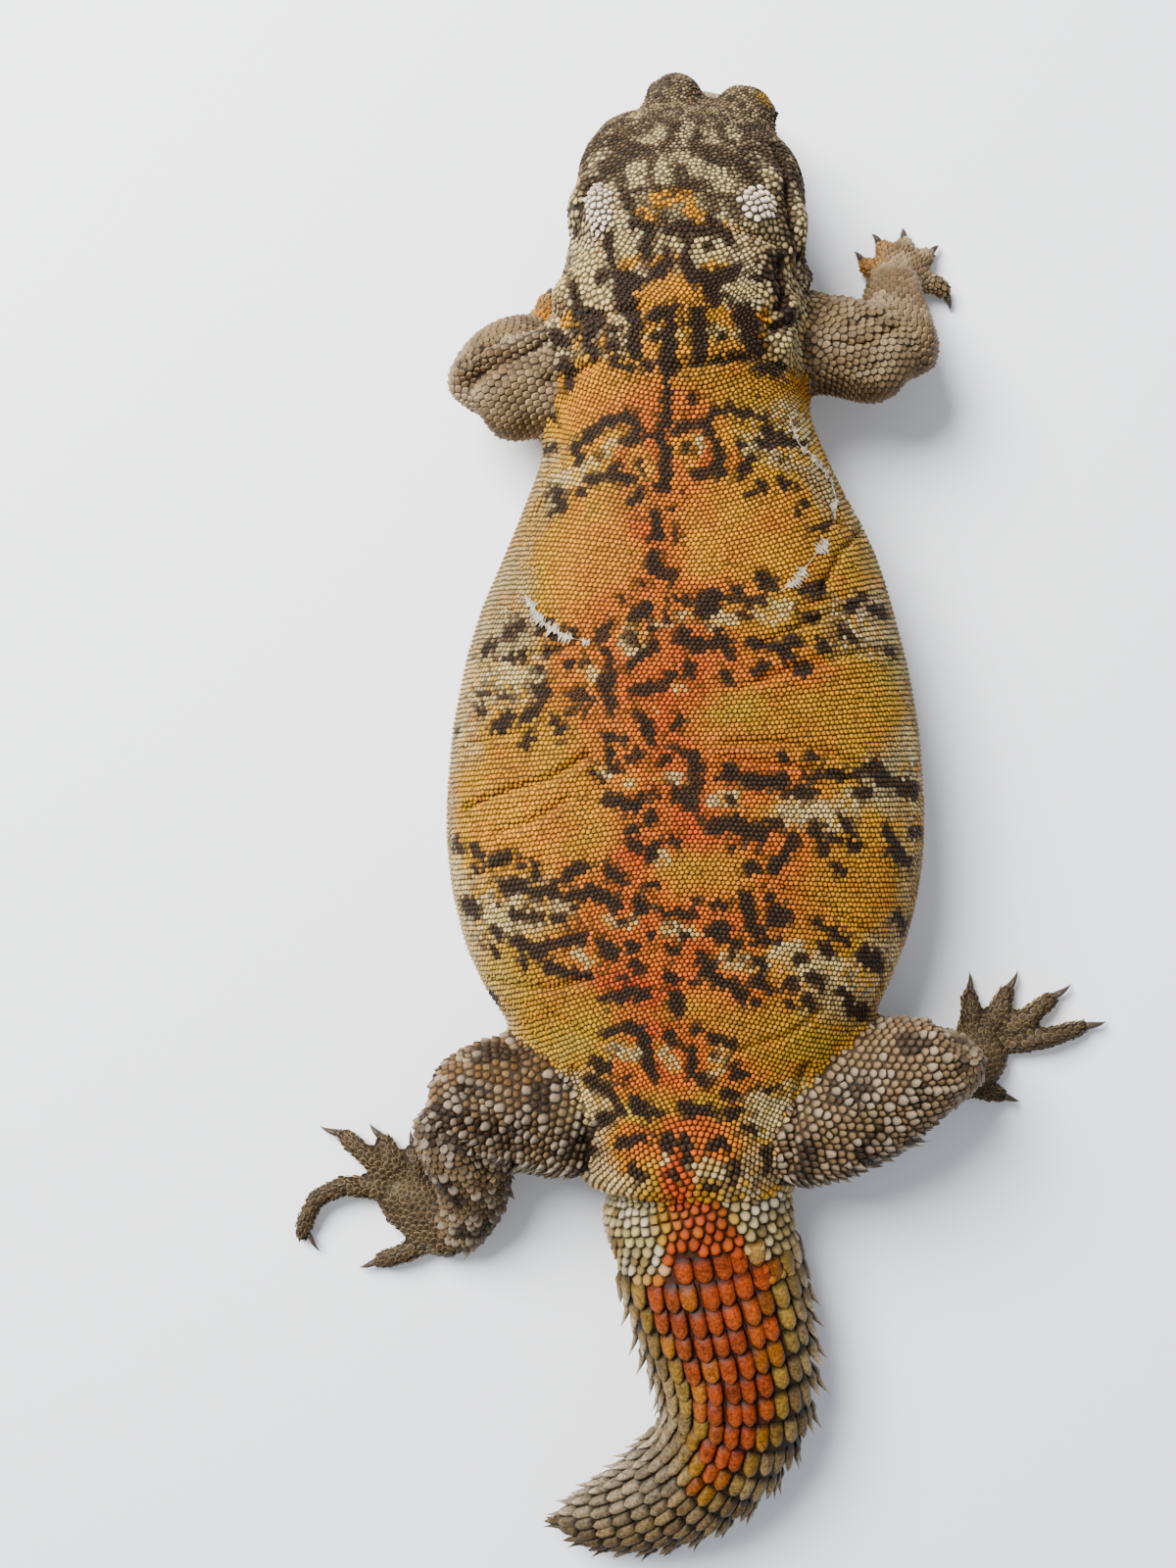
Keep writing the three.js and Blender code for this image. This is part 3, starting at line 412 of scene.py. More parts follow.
DARK = [
    (7, 436, 1142, 441, 1165), (8, 452, 1132, 466, 1136), (9, 474, 1145, 492, 1152, 510, 1160),
    (8, 455, 1205, 465, 1228), (5, 478, 1110, 470, 1122), (6, 893, 1158, 905, 1150),
    (6, 880, 1172, 888, 1180), (6, 650, 229, 664, 233, 661, 250, 660, 262),
    (6, 698, 229, 718, 236, 736, 236), (4, 700, 240, 702, 258), (4.5, 742, 244, 746, 252),
    (4, 622, 240, 621, 262, 624, 270), (5.5, 612, 283, 634, 279, 652, 287, 668, 279, 682, 269),
    (3, 678, 256, 680, 254), (3, 721, 249, 723, 252),
    (6.5, 700, 265, 706, 279, 718, 283, 736, 282, 752, 278), (8.5, 722, 290, 728, 302),
    (3, 760, 283, 785, 284), (6, 792, 284, 798, 300, 800, 316), (4.5, 788, 264, 800, 258),
    (7.5, 636, 290, 634, 304, 641, 313), (4, 585, 290, 588, 312, 590, 318), (4, 600, 318, 615, 320),
    (6.5, 603, 325, 604, 336, 601, 350, 606, 358), (4, 622, 333, 628, 336), (4, 625, 350, 627, 354),
    (6.5, 645, 320, 650, 332, 648, 348, 646, 360), (7.5, 670, 321, 684, 315, 684, 332),
    (8.5, 712, 320, 716, 334, 714, 350, 716, 362), (7.5, 756, 322, 766, 328, 764, 345, 768, 358),
    (4.5, 785, 335, 800, 330, 808, 322), (7.5, 682, 352, 680, 368, 684, 378), (4.5, 655, 368, 662, 374),
    (3.8, 690, 374, 715, 368, 740, 366, 757, 364), (3.8, 628, 366, 630, 372),
    (6, 575, 371, 583, 378, 580, 390), (6.5, 565, 345, 578, 350), (5.5, 772, 374, 796, 376),
    (4, 778, 350, 780, 356), (3, 742, 302, 750, 312, 770, 316), (3.5, 667, 342, 668, 344),
    (2, 690, 349, 691, 350), (4.5, 736, 344, 739, 348), (2.5, 586, 334, 588, 337),
    (3, 640, 376, 648, 380), (4.5, 680, 385, 681, 410, 681, 432), (5, 706, 410, 708, 404),
    (3, 771, 407, 772, 408),
    (5.5, 592, 468, 590, 456, 602, 444, 618, 431, 640, 424, 650, 430, 648, 438),
    (4.5, 640, 451, 655, 446, 668, 442, 675, 438), (5, 678, 436, 674, 450, 680, 465, 678, 480),
    (8, 678, 482, 675, 495),
    (4.5, 690, 437, 705, 434, 722, 432, 728, 422, 745, 418, 765, 422, 780, 428, 784, 444),
    (4.5, 722, 433, 727, 445, 733, 460, 734, 476), (5.5, 707, 483, 720, 480, 735, 477),
    (5, 754, 452, 757, 453), (3, 699, 455, 700, 456), (2.5, 706, 463, 708, 463),
    (3.5, 652, 469, 654, 472), (2.5, 612, 463, 616, 462), (5.5, 603, 489, 622, 485, 645, 490),
    (2.5, 622, 478, 634, 471), (3, 655, 493, 653, 503, 645, 511), (5, 565, 501, 575, 514, 568, 521),
    (5, 560, 456, 564, 455), (2.5, 563, 428, 565, 430), (4, 588, 505, 596, 502),
    (5, 757, 484, 767, 468), (6, 798, 490, 805, 496), (3.5, 764, 506, 768, 505),
    (3, 774, 492, 778, 498), (5, 818, 520, 824, 514), (5, 832, 538, 844, 534), (6, 796, 448, 815, 452),
    (4, 776, 452, 790, 458), (7, 669, 525, 670, 536, 671, 546), (6.5, 666, 568, 670, 580, 686, 588),
    (2.2, 685, 518, 687, 520), (2.2, 688, 540, 691, 552), (2.5, 696, 501, 699, 503),
    (3, 654, 596, 657, 599), (9, 720, 607, 722, 622), (6, 725, 612, 745, 607, 753, 601),
    (8, 778, 593, 786, 597), (3.5, 758, 613, 778, 611), (3, 683, 611, 700, 612),
    (5, 756, 626, 759, 629), (8, 651, 628, 659, 621), (3.5, 633, 606, 636, 613),
    (7, 626, 635, 617, 645, 615, 650), (4.5, 643, 651, 649, 652), (4, 682, 629, 684, 631),
    (7, 692, 649, 701, 648), (3, 664, 640, 668, 643), (4.5, 668, 655, 660, 665, 650, 674, 643, 678),
    (6, 710, 658, 728, 659, 745, 662), (5, 733, 648, 742, 652), (3, 620, 662, 622, 680),
    (6, 623, 688, 615, 703), (5.5, 765, 655, 785, 658, 800, 668), (7, 800, 670, 808, 674),
    (5, 703, 681, 706, 696), (5.5, 738, 689, 746, 697), (4.5, 771, 686, 781, 679),
    (5, 820, 684, 824, 678), (6, 808, 650, 812, 656), (5, 838, 655, 842, 663), (5, 860, 645, 875, 652),
    (3, 808, 690, 812, 688), (6, 905, 664, 912, 668), (6, 868, 618, 880, 612), (6, 892, 622, 900, 626),
    (7, 820, 603, 838, 600), (4, 815, 624, 832, 630), (6, 519, 646, 532, 637), (6, 550, 641, 560, 636),
    (5, 568, 646, 574, 643), (5, 585, 652, 590, 641), (5, 490, 666, 504, 655), (4, 508, 672, 535, 668),
    (4, 556, 667, 566, 663), (2.5, 578, 678, 584, 676), (3, 590, 675, 596, 673),
    (2.5, 546, 682, 551, 682), (4, 543, 701, 562, 696), (3.5, 487, 706, 520, 712),
    (6, 584, 708, 600, 712), (3, 600, 716, 599, 728), (6, 556, 708, 548, 722, 537, 731),
    (6.5, 509, 740, 521, 728), (4.5, 488, 726, 493, 726), (6, 568, 738, 572, 747),
    (3, 579, 728, 583, 728), (4.5, 541, 747, 536, 760), (2.5, 463, 743, 466, 745),
    (6.5, 622, 713, 623, 724), (5.5, 660, 706, 672, 700, 686, 691), (3, 645, 704, 657, 702),
    (6, 652, 730, 660, 741, 665, 755), (6.5, 689, 738, 692, 736), (4, 621, 751, 629, 753),
    (2.5, 639, 755, 642, 756), (4.5, 622, 765, 622, 778, 630, 783), (6, 643, 774, 650, 771),
    (5, 672, 778, 681, 772), (3, 690, 766, 693, 768), (3, 602, 784, 610, 796),
    (6, 622, 816, 640, 821, 655, 816), (3, 655, 814, 668, 811), (6, 667, 828, 665, 839),
    (3.5, 643, 844, 646, 847), (5.5, 644, 859, 655, 868, 664, 873), (3, 666, 864, 672, 862),
    (5, 685, 855, 690, 861), (2, 678, 795, 680, 797), (6.5, 705, 772, 712, 786, 710, 800, 705, 820),
    (7, 692, 810, 705, 812), (4, 733, 794, 739, 792), (7, 745, 789, 762, 794, 775, 803),
    (6, 775, 797, 798, 797), (5, 805, 810, 830, 808), (5, 823, 791, 845, 789, 862, 791),
    (8, 893, 782, 899, 794), (4, 868, 790, 882, 788), (8, 916, 800, 932, 808), (5, 875, 806, 884, 810),
    (4, 797, 772, 803, 774), (4, 828, 772, 834, 774), (3, 743, 817, 746, 818),
    (7, 730, 843, 750, 838, 765, 845), (7.5, 765, 847, 775, 853), (5, 780, 846, 792, 842),
    (3, 716, 838, 717, 843), (8, 830, 847, 835, 849), (7.5, 808, 858, 800, 868),
    (5, 796, 876, 790, 886), (5, 858, 836, 870, 848), (6, 866, 860, 874, 864), (5, 850, 856, 856, 858),
    (4, 838, 866, 840, 867), (5.5, 762, 887, 769, 885), (3, 748, 864, 752, 865),
    (2.5, 774, 868, 776, 870), (5, 852, 882, 858, 888), (8, 912, 868, 926, 878),
    (5, 905, 843, 911, 858), (5, 932, 852, 938, 850), (5, 916, 935, 921, 946), (11, 793, 934, 801, 936),
    (6.5, 762, 915, 766, 934, 771, 950), (3.5, 780, 908, 785, 914), (6, 731, 925, 735, 924),
    (8.5, 727, 947, 738, 951), (5, 752, 962, 775, 962, 797, 958), (5, 675, 932, 693, 931, 705, 937),
    (2.5, 697, 955, 701, 956), (6, 682, 967, 688, 971), (7, 717, 974, 722, 990),
    (6, 722, 990, 735, 1002, 752, 1008), (7.5, 750, 1008, 759, 1014), (6, 774, 1000, 786, 1012),
    (6, 806, 1002, 811, 1008), (3, 749, 980, 752, 980), (5, 774, 980, 778, 982),
    (5, 814, 978, 820, 978), (5, 830, 999, 838, 1006), (6, 840, 967, 848, 971),
    (4, 832, 942, 850, 950, 866, 962), (9, 883, 974, 898, 985), (9, 866, 1026, 880, 1034),
    (4, 858, 1010, 866, 1016), (5, 822, 1019, 828, 1025), (3.5, 802, 1024, 806, 1027),
    (3, 770, 1022, 774, 1026), (6, 491, 872, 485, 866), (4, 484, 884, 488, 888),
    (7, 505, 880, 518, 871), (4, 530, 882, 534, 884), (5, 549, 884, 546, 893), (8, 583, 893, 592, 886),
    (4, 464, 859, 469, 868), (7, 515, 907, 530, 905), (7, 545, 911, 565, 905), (4, 565, 915, 595, 915),
    (7, 600, 913, 615, 912, 627, 921), (6, 622, 887, 634, 900), (8, 650, 922, 655, 927),
    (4, 664, 904, 669, 902), (8.5, 478, 924, 483, 928), (5, 524, 934, 531, 933),
    (3, 510, 925, 513, 926), (4, 543, 934, 549, 936), (4, 586, 927, 589, 933), (3, 566, 938, 573, 937),
    (3, 632, 941, 637, 942), (6, 527, 960, 545, 966, 560, 965), (7, 540, 970, 556, 972),
    (5.5, 575, 961, 596, 955), (7, 614, 960, 618, 968, 624, 976), (5, 643, 964, 648, 966),
    (6.5, 648, 985, 652, 986), (5, 499, 965, 505, 975), (3.5, 505, 948, 508, 954),
    (3.5, 534, 984, 537, 987), (4.5, 560, 987, 580, 993, 603, 998), (4, 632, 997, 637, 998),
    (5, 683, 996, 688, 998), (5.5, 618, 1021, 640, 1014, 660, 1017), (8, 688, 1016, 691, 1027),
    (5, 499, 1012, 505, 1021), (4, 660, 942, 665, 953), (3, 706, 917, 709, 919),
    (3, 707, 1002, 710, 1003), (6, 622, 1053, 640, 1048, 650, 1052), (5.5, 655, 1056, 662, 1072),
    (5, 684, 1055, 690, 1062), (4, 710, 1051, 713, 1053), (6.5, 727, 1058, 738, 1061, 746, 1067),
    (5, 700, 1071, 707, 1080, 705, 1094, 715, 1103, 724, 1105), (6, 662, 1082, 668, 1096),
    (7, 608, 1083, 616, 1090), (4, 638, 1104, 643, 1106), (3, 625, 1069, 629, 1071),
    (2.5, 727, 1076, 729, 1078), (5, 749, 1093, 758, 1097), (6.5, 741, 1116, 751, 1118),
    (3, 765, 1113, 792, 1112), (8, 651, 1124, 656, 1132), (5, 656, 1136, 674, 1136),
    (7, 699, 1131, 712, 1137, 722, 1134), (7, 744, 1137, 753, 1134),
    (5.5, 598, 1102, 618, 1112, 627, 1118), (6, 612, 1144, 625, 1140, 631, 1134),
    (5, 761, 1152, 768, 1155), (5.5, 680, 1158, 683, 1170), (4.5, 700, 1163, 703, 1185),
    (5.5, 632, 1168, 645, 1165, 655, 1161), (7, 731, 1168, 736, 1167), (6, 751, 1192, 745, 1208),
    (5, 724, 1211, 730, 1213), (5, 780, 1174, 784, 1195), (5, 600, 1163, 604, 1172),
    (5, 645, 1192, 655, 1202), (4, 683, 1200, 690, 1201),
    (6, 662, 152, 642, 158, 630, 170, 616, 178, 606, 192), (4, 606, 192, 597, 208, 592, 224, 590, 238),
    (8, 722, 160, 744, 160, 760, 171, 770, 186), (8.5, 745, 202, 752, 214),
    (7, 792, 158, 800, 180, 803, 202, 804, 226, 808, 244), (6, 691, 171, 697, 183),
    (3.5, 664, 166, 664, 188), (5, 702, 187, 718, 185),
    (3.5, 640, 197, 656, 192, 680, 191, 702, 191, 722, 196, 736, 203),
    (5, 637, 182, 634, 196, 640, 210, 649, 223), (5.5, 646, 208, 652, 226, 664, 236),
    (6.5, 675, 222, 683, 233), (6.5, 694, 226, 701, 237), (5, 728, 207, 724, 222, 732, 232),
    (5, 712, 136, 707, 150), (4, 654, 122, 660, 130), (4, 672, 121, 690, 128),
    (4.5, 612, 146, 632, 140), (4, 640, 133, 652, 136), (4, 735, 130, 740, 146),
    (4, 758, 132, 775, 126, 786, 136), (6, 760, 150, 780, 152), (5, 778, 200, 788, 206),
    (5.5, 816, 150, 820, 170, 822, 190), (4, 786, 108, 793, 118, 796, 128),
]
PALE = [
    (11, 637, 248, 634, 262), (9, 670, 250, 686, 246), (12, 714, 252, 732, 258),
    (14, 592, 240, 605, 262, 598, 290), (10, 568, 306, 576, 294),
    (3.8, 616, 326, 630, 322, 636, 336, 634, 350, 622, 357, 614, 348), (8, 668, 343, 669, 345),
    (6.5, 692, 344, 693, 348), (6.5, 725, 340, 748, 337, 753, 347), (9, 808, 272, 815, 290),
    (5, 786, 322, 804, 326), (9, 794, 344, 802, 366), (6, 562, 364, 568, 378), (8, 750, 294, 775, 300),
    (10, 615, 300, 606, 310), (7, 620, 458, 630, 450), (7, 570, 488, 592, 484), (6, 600, 470, 610, 478),
    (6, 710, 453, 714, 455), (4, 658, 477, 663, 478), (9, 748, 445, 765, 455), (8, 640, 660, 652, 664),
    (6, 636, 646, 645, 640, 655, 648), (6, 672, 637, 696, 628), (6, 725, 632, 748, 630),
    (10, 780, 624, 800, 620), (5, 595, 680, 605, 690), (9, 515, 684, 545, 690), (9, 470, 700, 480, 684),
    (3, 668, 722, 671, 724), (3, 690, 700, 694, 701), (5, 640, 800, 648, 800), (5, 606, 787, 620, 786),
    (5, 676, 792, 690, 795), (6, 728, 818, 752, 816), (9, 800, 830, 820, 824), (7, 835, 826, 850, 830),
    (6, 668, 872, 676, 880), (8, 925, 750, 936, 760), (8, 935, 820, 940, 800), (7, 565, 926, 580, 930),
    (8, 500, 932, 530, 925), (7, 505, 945, 545, 942), (5, 618, 942, 650, 942), (7, 680, 948, 705, 952),
    (8, 745, 980, 780, 984), (9, 790, 970, 812, 968), (9, 820, 990, 855, 985), (8, 910, 990, 915, 970),
    (8, 465, 880, 470, 900), (6, 590, 975, 600, 980), (8, 625, 1068, 648, 1076),
    (8, 735, 1076, 730, 1090), (6, 675, 1075, 690, 1088), (9, 595, 1118, 610, 1125),
    (9, 590, 1135, 600, 1140), (9, 765, 1124, 795, 1128), (7, 775, 1144, 795, 1145),
    (6, 705, 1188, 715, 1192), (4, 665, 1190, 678, 1184), (8, 615, 1205, 640, 1212),
    (5, 720, 1190, 735, 1198),
]
TAN = [
    (9.5, 650, 168, 648, 184), (9, 676, 166, 677, 182), (8, 694, 156, 704, 164, 712, 175),
    (5, 716, 163, 719, 165), (11, 732, 176, 738, 188), (7, 703, 130, 700, 143), (6, 676, 130, 668, 140),
    (5, 660, 143, 669, 147), (5, 722, 135, 732, 142), (4, 745, 133, 750, 140), (5, 652, 118, 655, 126),
    (5, 606, 172, 612, 160), (7, 786, 178, 790, 187), (12, 626, 236, 634, 215, 622, 200),
    (12, 756, 255, 774, 264), (8, 740, 218, 752, 232), (8, 600, 226, 592, 250), (9, 812, 210, 816, 240),
    (7, 584, 205, 580, 240),
]
GOLD = [
    (6.5, 655, 216, 664, 222), (8, 706, 210, 712, 223), (8, 672, 201, 700, 198),
    (5, 638, 269, 656, 265), (4.5, 665, 266, 690, 263), (4.5, 719, 272, 739, 270),
    (10, 652, 301, 668, 297, 684, 289, 690, 301), (9, 700, 293, 711, 305), (4, 650, 314, 668, 309),
    (5.5, 692, 314, 695, 330), (6, 656, 326, 662, 331), (7, 655, 356, 666, 355),
    (8, 697, 356, 701, 365), (4.5, 734, 321, 749, 325), (5, 744, 348, 753, 354),
    (4.5, 727, 354, 740, 357), (5, 613, 321, 619, 327), (5, 613, 345, 620, 355),
    (5, 775, 340, 779, 350), (4.5, 781, 324, 783, 326), (8, 582, 326, 591, 340), (6, 778, 96, 786, 106),
    (5, 655, 356, 664, 360), (5, 690, 360, 700, 362), (6, 745, 325, 755, 322), (5, 778, 322, 782, 326),
    (6, 735, 356, 752, 354), (10, 650, 466, 660, 482), (10, 695, 452, 705, 470), (8, 740, 440, 738, 455),
]


def noise(points, size, seed=0.0):
    """Smooth random values from 0 to 1 that change over about the given size."""
    places = points / size + 50 + seed * 17.3
    cells = np.floor(places)
    part = places - cells
    part = part * part * (3 - 2 * part)
    total = np.zeros(len(points))
    for corner in np.ndindex(2, 2, 2):
        key = (cells + corner) @ (12.9898, 78.233, 37.719) + seed
        value = np.modf(np.abs(np.sin(key)) * 43758.5453)[0]
        total += value * np.prod(np.where(corner, part, 1 - part), axis=1)
    return total


def blend(colours, other, mask):
    return colours + (np.array(other) - colours) * mask[:, None]


def strokes(colours, plan, wobble, marks, ink, mask, soft=0.35):
    """Lays marks over the colours; each is a half width and the points of a stroke."""
    for width, *places in marks:
        width = width / STROKE_SCALE
        path = np.array(seen(places))[:, :2]
        low = np.min(path, axis=0) - width - 1
        high = np.max(path, axis=0) + width + 1
        near = np.flatnonzero(np.all((plan > low) & (plan < high), axis=1))
        if len(near) == 0:
            continue
        gap = distance_to(plan[near], path) + wobble[near]
        cover = (1 - ramp(gap, width - soft, width + soft)) * mask[near]
        colours[near] = blend(colours[near], ink, cover)


def chance_of(points):
    """A value from 0 to 1 that seems random from one scale to the next."""
    return noise(points, 0.9, 31)


def part_of(name):
    """The part of the body that a solid is, without its corner and side."""
    return "tail" if name.startswith("tail") else name.split("_front")[0].split("_back")[0]


TAIL_RINGS = 60
TAIL_LINE = along(TAIL, TAIL_RINGS)
PART_OF = np.array([part_of(name) for name in flesh])
TRUNK_TINTS = {
    "flank_right": (0.47, 0.355, 0.195), "flank_left": (0.56, 0.44, 0.265), "belly": (0.62, 0.52, 0.38),
    "band_fleck": (0.52, 0.27, 0.05), "band_speck": (0.12, 0.075, 0.04), "speck": (0.16, 0.10, 0.04),
}
HEAD_TINTS = {
    "crown": (0.19, 0.138, 0.086), "snout": (0.085, 0.055, 0.03), "dark": (0.04, 0.026, 0.016),
    "pale": (0.40, 0.31, 0.20), "nape": (0.44, 0.35, 0.21), "chin": (0.50, 0.42, 0.30),
}
LIMB_TINTS = {
    "foreleg": (0.20, 0.142, 0.088), "foreleg_pale": (0.36, 0.275, 0.19),
    "foreleg_dark": (0.14, 0.095, 0.06), "hind_leg": (0.157, 0.108, 0.066),
    "hind_leg_right": (0.225, 0.158, 0.098), "hind_leg_ahead": (0.15, 0.085, 0.042),
    "hind_leg_grain": (0.34, 0.255, 0.16), "hind_leg_dark": (0.035, 0.025, 0.018),
    "foot": (0.062, 0.044, 0.027), "foot_pale": (0.095, 0.07, 0.043), "finger": (0.40, 0.18, 0.05),
    "sole": (0.50, 0.41, 0.30),
}
TAIL_TINTS = {
    "side": (0.46, 0.335, 0.195), "side_dark": (0.17, 0.11, 0.06), "edge": (0.50, 0.32, 0.12),
    "red": (0.50, 0.125, 0.016), "orange": (0.58, 0.22, 0.025), "root": (0.68, 0.55, 0.31),
    "root_pale": (0.76, 0.66, 0.50), "root_dark": (0.26, 0.17, 0.08), "rear": (0.42, 0.335, 0.235),
    "rear_dark": (0.13, 0.085, 0.05), "under": (0.52, 0.42, 0.28),
}
TAIL_SHADE = 0.62
RED_ALONG = [0, 0.12, 0.24, 0.41, 0.52, 0.61, 0.70, 0.78]
RED_WIDTH = [0.3, 0.28, 0.66, 0.5, 0.42, 0.3, 0.1, -0.3]


def paint_trunk(points, plan, up):
    """The trunk's ground colours, also under the other parts: soft patches, flecks and flanks."""
    ground = np.full((len(points), 3), GROUND_COLOURS["ochre"]) * 0.02
    weight = np.full(len(points), 0.02)
    bands = np.zeros(len(points))
    drift = np.stack([noise(points, 3.0, 21), noise(points, 3.0, 22)], axis=1) * 3 - 1.5
    for name, patches in GROUND.items():
        for *place, wide, long in patches:
            away = (plan + drift - seen(place)[0][:2]) * GROUND_SCALE / (wide, long)
            near = np.exp(-1.6 * (away**2).sum(axis=1))
            ground += near[:, None] * np.array(GROUND_COLOURS[name])
            weight += near
            bands += near * (name == "cream")
    colours = ground / weight[:, None]
    bands = bands / weight
    drift_of_hue = noise(points, 4.5, 41) - 0.5
    colours = colours * (1 + 0.35 * drift_of_hue[:, None] * np.array((0.6, 1.2, 1.4)))
    colours = blend(colours, GROUND_COLOURS["orange"], ramp(noise(points, 1.5, 42), 0.62, 0.85) * 0.35)
    flecks = ramp(noise(points, 0.55, 11), 0.42, 0.6) * bands * 0.85 * ramp(plan[:, 1], -58, -46)
    colours = blend(colours, TRUNK_TINTS["band_fleck"], flecks)
    specks = ramp(noise(points, 0.75, 12), 0.60, 0.72) * bands * 0.85
    colours = blend(colours, TRUNK_TINTS["band_speck"], specks)
    colours = blend(colours, TRUNK_TINTS["speck"], ramp(noise(points, 0.6, 13), 0.74, 0.84) * 0.55)
    # The flanks: the right one is darker, partly its own colour and partly painted shade, as the light
    # falls from the left.
    on_left = ramp(plan[:, 0], -8, 8)
    flank = np.full((len(points), 3), TRUNK_TINTS["flank_right"])
    flank = blend(flank, TRUNK_TINTS["flank_left"], on_left)
    colours = blend(colours, flank, (1 - ramp(points[:, 2], 8, 15 + 6 * on_left)) * 0.85)
    return blend(colours, TRUNK_TINTS["belly"], 1 - ramp(up, -0.5, 0.1))


def paint_head(colours, points, plan, up, head):
    """The head's brown crown, darker towards the snout, with dark and pale flecks."""
    colours[head] = HEAD_TINTS["crown"]
    colours = blend(colours, HEAD_TINTS["snout"], head * ramp(plan[:, 1], -86, -79) * 0.85)
    colours = blend(colours, HEAD_TINTS["dark"], head * ramp(noise(points, 0.55, 3), 0.46, 0.62) * 0.85)
    colours = blend(colours, HEAD_TINTS["pale"], head * ramp(noise(points, 0.55, 4), 0.52, 0.72) * 0.8)
    nape = head * ramp(plan[:, 1], -75, -71) * ramp(up, 0.2, 0.6)
    colours = blend(colours, HEAD_TINTS["nape"], nape * 0.6)
    return blend(colours, HEAD_TINTS["chin"], head * (1 - ramp(points[:, 2], 7, 13)))


def paint_limbs(colours, points, plan, up, kind, limb):
    """The legs' brown-grey with darker mottling, the dark feet and the orange fingers."""
    front = limb & (plan[:, 1] < 0)
    back = limb & (plan[:, 1] > 0)
    right = plan[:, 0] < 0
    left = plan[:, 0] > 0
    colours[front] = LIMB_TINTS["foreleg"]
    colours[back] = LIMB_TINTS["hind_leg"]
    colours = blend(colours, LIMB_TINTS["hind_leg_right"], (back & right) * 0.9)
    ahead = (back & left) * (1 - ramp(plan[:, 1], 36, 42)) * 0.8
    colours = blend(colours, LIMB_TINTS["hind_leg_ahead"], ahead)
    mottle = noise(points, 3.4, 5)
    colours = blend(colours, LIMB_TINTS["foreleg_pale"], front * ramp(mottle, 0.35, 0.8) * 0.75)
    blots = front * ramp(noise(points, 2.4, 8), 0.55, 0.8) * 0.75
    colours = blend(colours, LIMB_TINTS["foreleg_dark"], blots)
    grains = back * ramp(noise(points, 1.0, 6), 0.60, 0.75) * 0.5
    colours = blend(colours, LIMB_TINTS["hind_leg_grain"], grains)
    colours = blend(colours, LIMB_TINTS["hind_leg_dark"], back * ramp(mottle, 0.55, 0.7) * 0.85)
    outer = (kind == "foot") * ramp(up, 0.0, 0.4)
    colours = blend(colours, LIMB_TINTS["foot"], outer * 0.9)
    colours = blend(colours, LIMB_TINTS["foot_pale"], outer * ramp(noise(points, 3.0, 16), 0.4, 0.7) * 0.7)
    left_finger = ramp(plan[:, 0], 13.5, 15.5) * (1 - ramp(plan[:, 1], -62.5, -61))
    finger = (kind == "hand") * np.where(left, left_finger, ramp(plan[:, 0], -29.5, -26))
    lit = 0.45 + 0.5 * ramp(noise(points, 3, 9), 0.3, 0.5)
    colours = blend(colours, LIMB_TINTS["finger"], finger * lit)
    return blend(colours, LIMB_TINTS["sole"], limb * (1 - ramp(up, -0.7, -0.1)))


def paint_tail(points, up):
    """The tail's red top, its sand-coloured sides with dark blots, and its brown rear."""
    gaps = np.linalg.norm(points[:, None, :2] - TAIL_LINE[None, :, :2], axis=2)
    row = gaps.argmin(axis=1)
    _, side_way, _ = frames_along(TAIL_LINE)
    across = np.einsum("ij,ij->i", points[:, :2] - TAIL_LINE[row, :2], side_way[row, :2])
    across = across / TAIL_LINE[row, 3]
    done = row / (TAIL_RINGS - 1)
    jitter = chance_of(points)
    reach = np.interp(done, RED_ALONG, RED_WIDTH)
    aside = np.abs(across - 0.05) + (jitter - 0.5) * 0.16
    shade = np.tile(TAIL_TINTS["side"], (len(points), 1))
    shade = blend(shade, TAIL_TINTS["side_dark"], ramp(noise(points, 2.6, 32), 0.5, 0.7) * 0.8)
    edge = (1 - ramp(aside, reach, reach + 0.3)) * (1 - ramp(done, 0.66, 0.8))
    shade = blend(shade, TAIL_TINTS["edge"], edge)
    red = 1 - ramp(aside, reach - 0.12, reach + 0.08)
    shade = blend(shade, TAIL_TINTS["red"], red)
    shade = blend(shade, TAIL_TINTS["orange"], red * ramp(jitter + aside - reach, 0.35, 0.75) * 0.9)
    base = (1 - ramp(done, 0.16, 0.24)) * ramp(aside, 0.3, 0.5)
    shade = blend(shade, TAIL_TINTS["root"], base)
    shade = blend(shade, TAIL_TINTS["root_pale"], base * ramp(noise(points, 1.6, 33), 0.5, 0.65))
    shade = blend(shade, TAIL_TINTS["root_dark"], base * ramp(noise(points, 1.9, 34), 0.58, 0.7) * 0.9)
    rear = ramp(done, 0.6, 0.78)
    shade = blend(shade, TAIL_TINTS["rear"], rear * ramp(across, -0.15, 0.3) * 0.9)
    dark = rear * (1 - ramp(across, -0.3, 0.2)) * (0.25 + 0.6 * jitter)
    shade = blend(shade, TAIL_TINTS["rear_dark"], dark)
    shade = blend(shade, TAIL_TINTS["under"], 1 - ramp(up, -0.4, 0.1))
    return shade * TAIL_SHADE


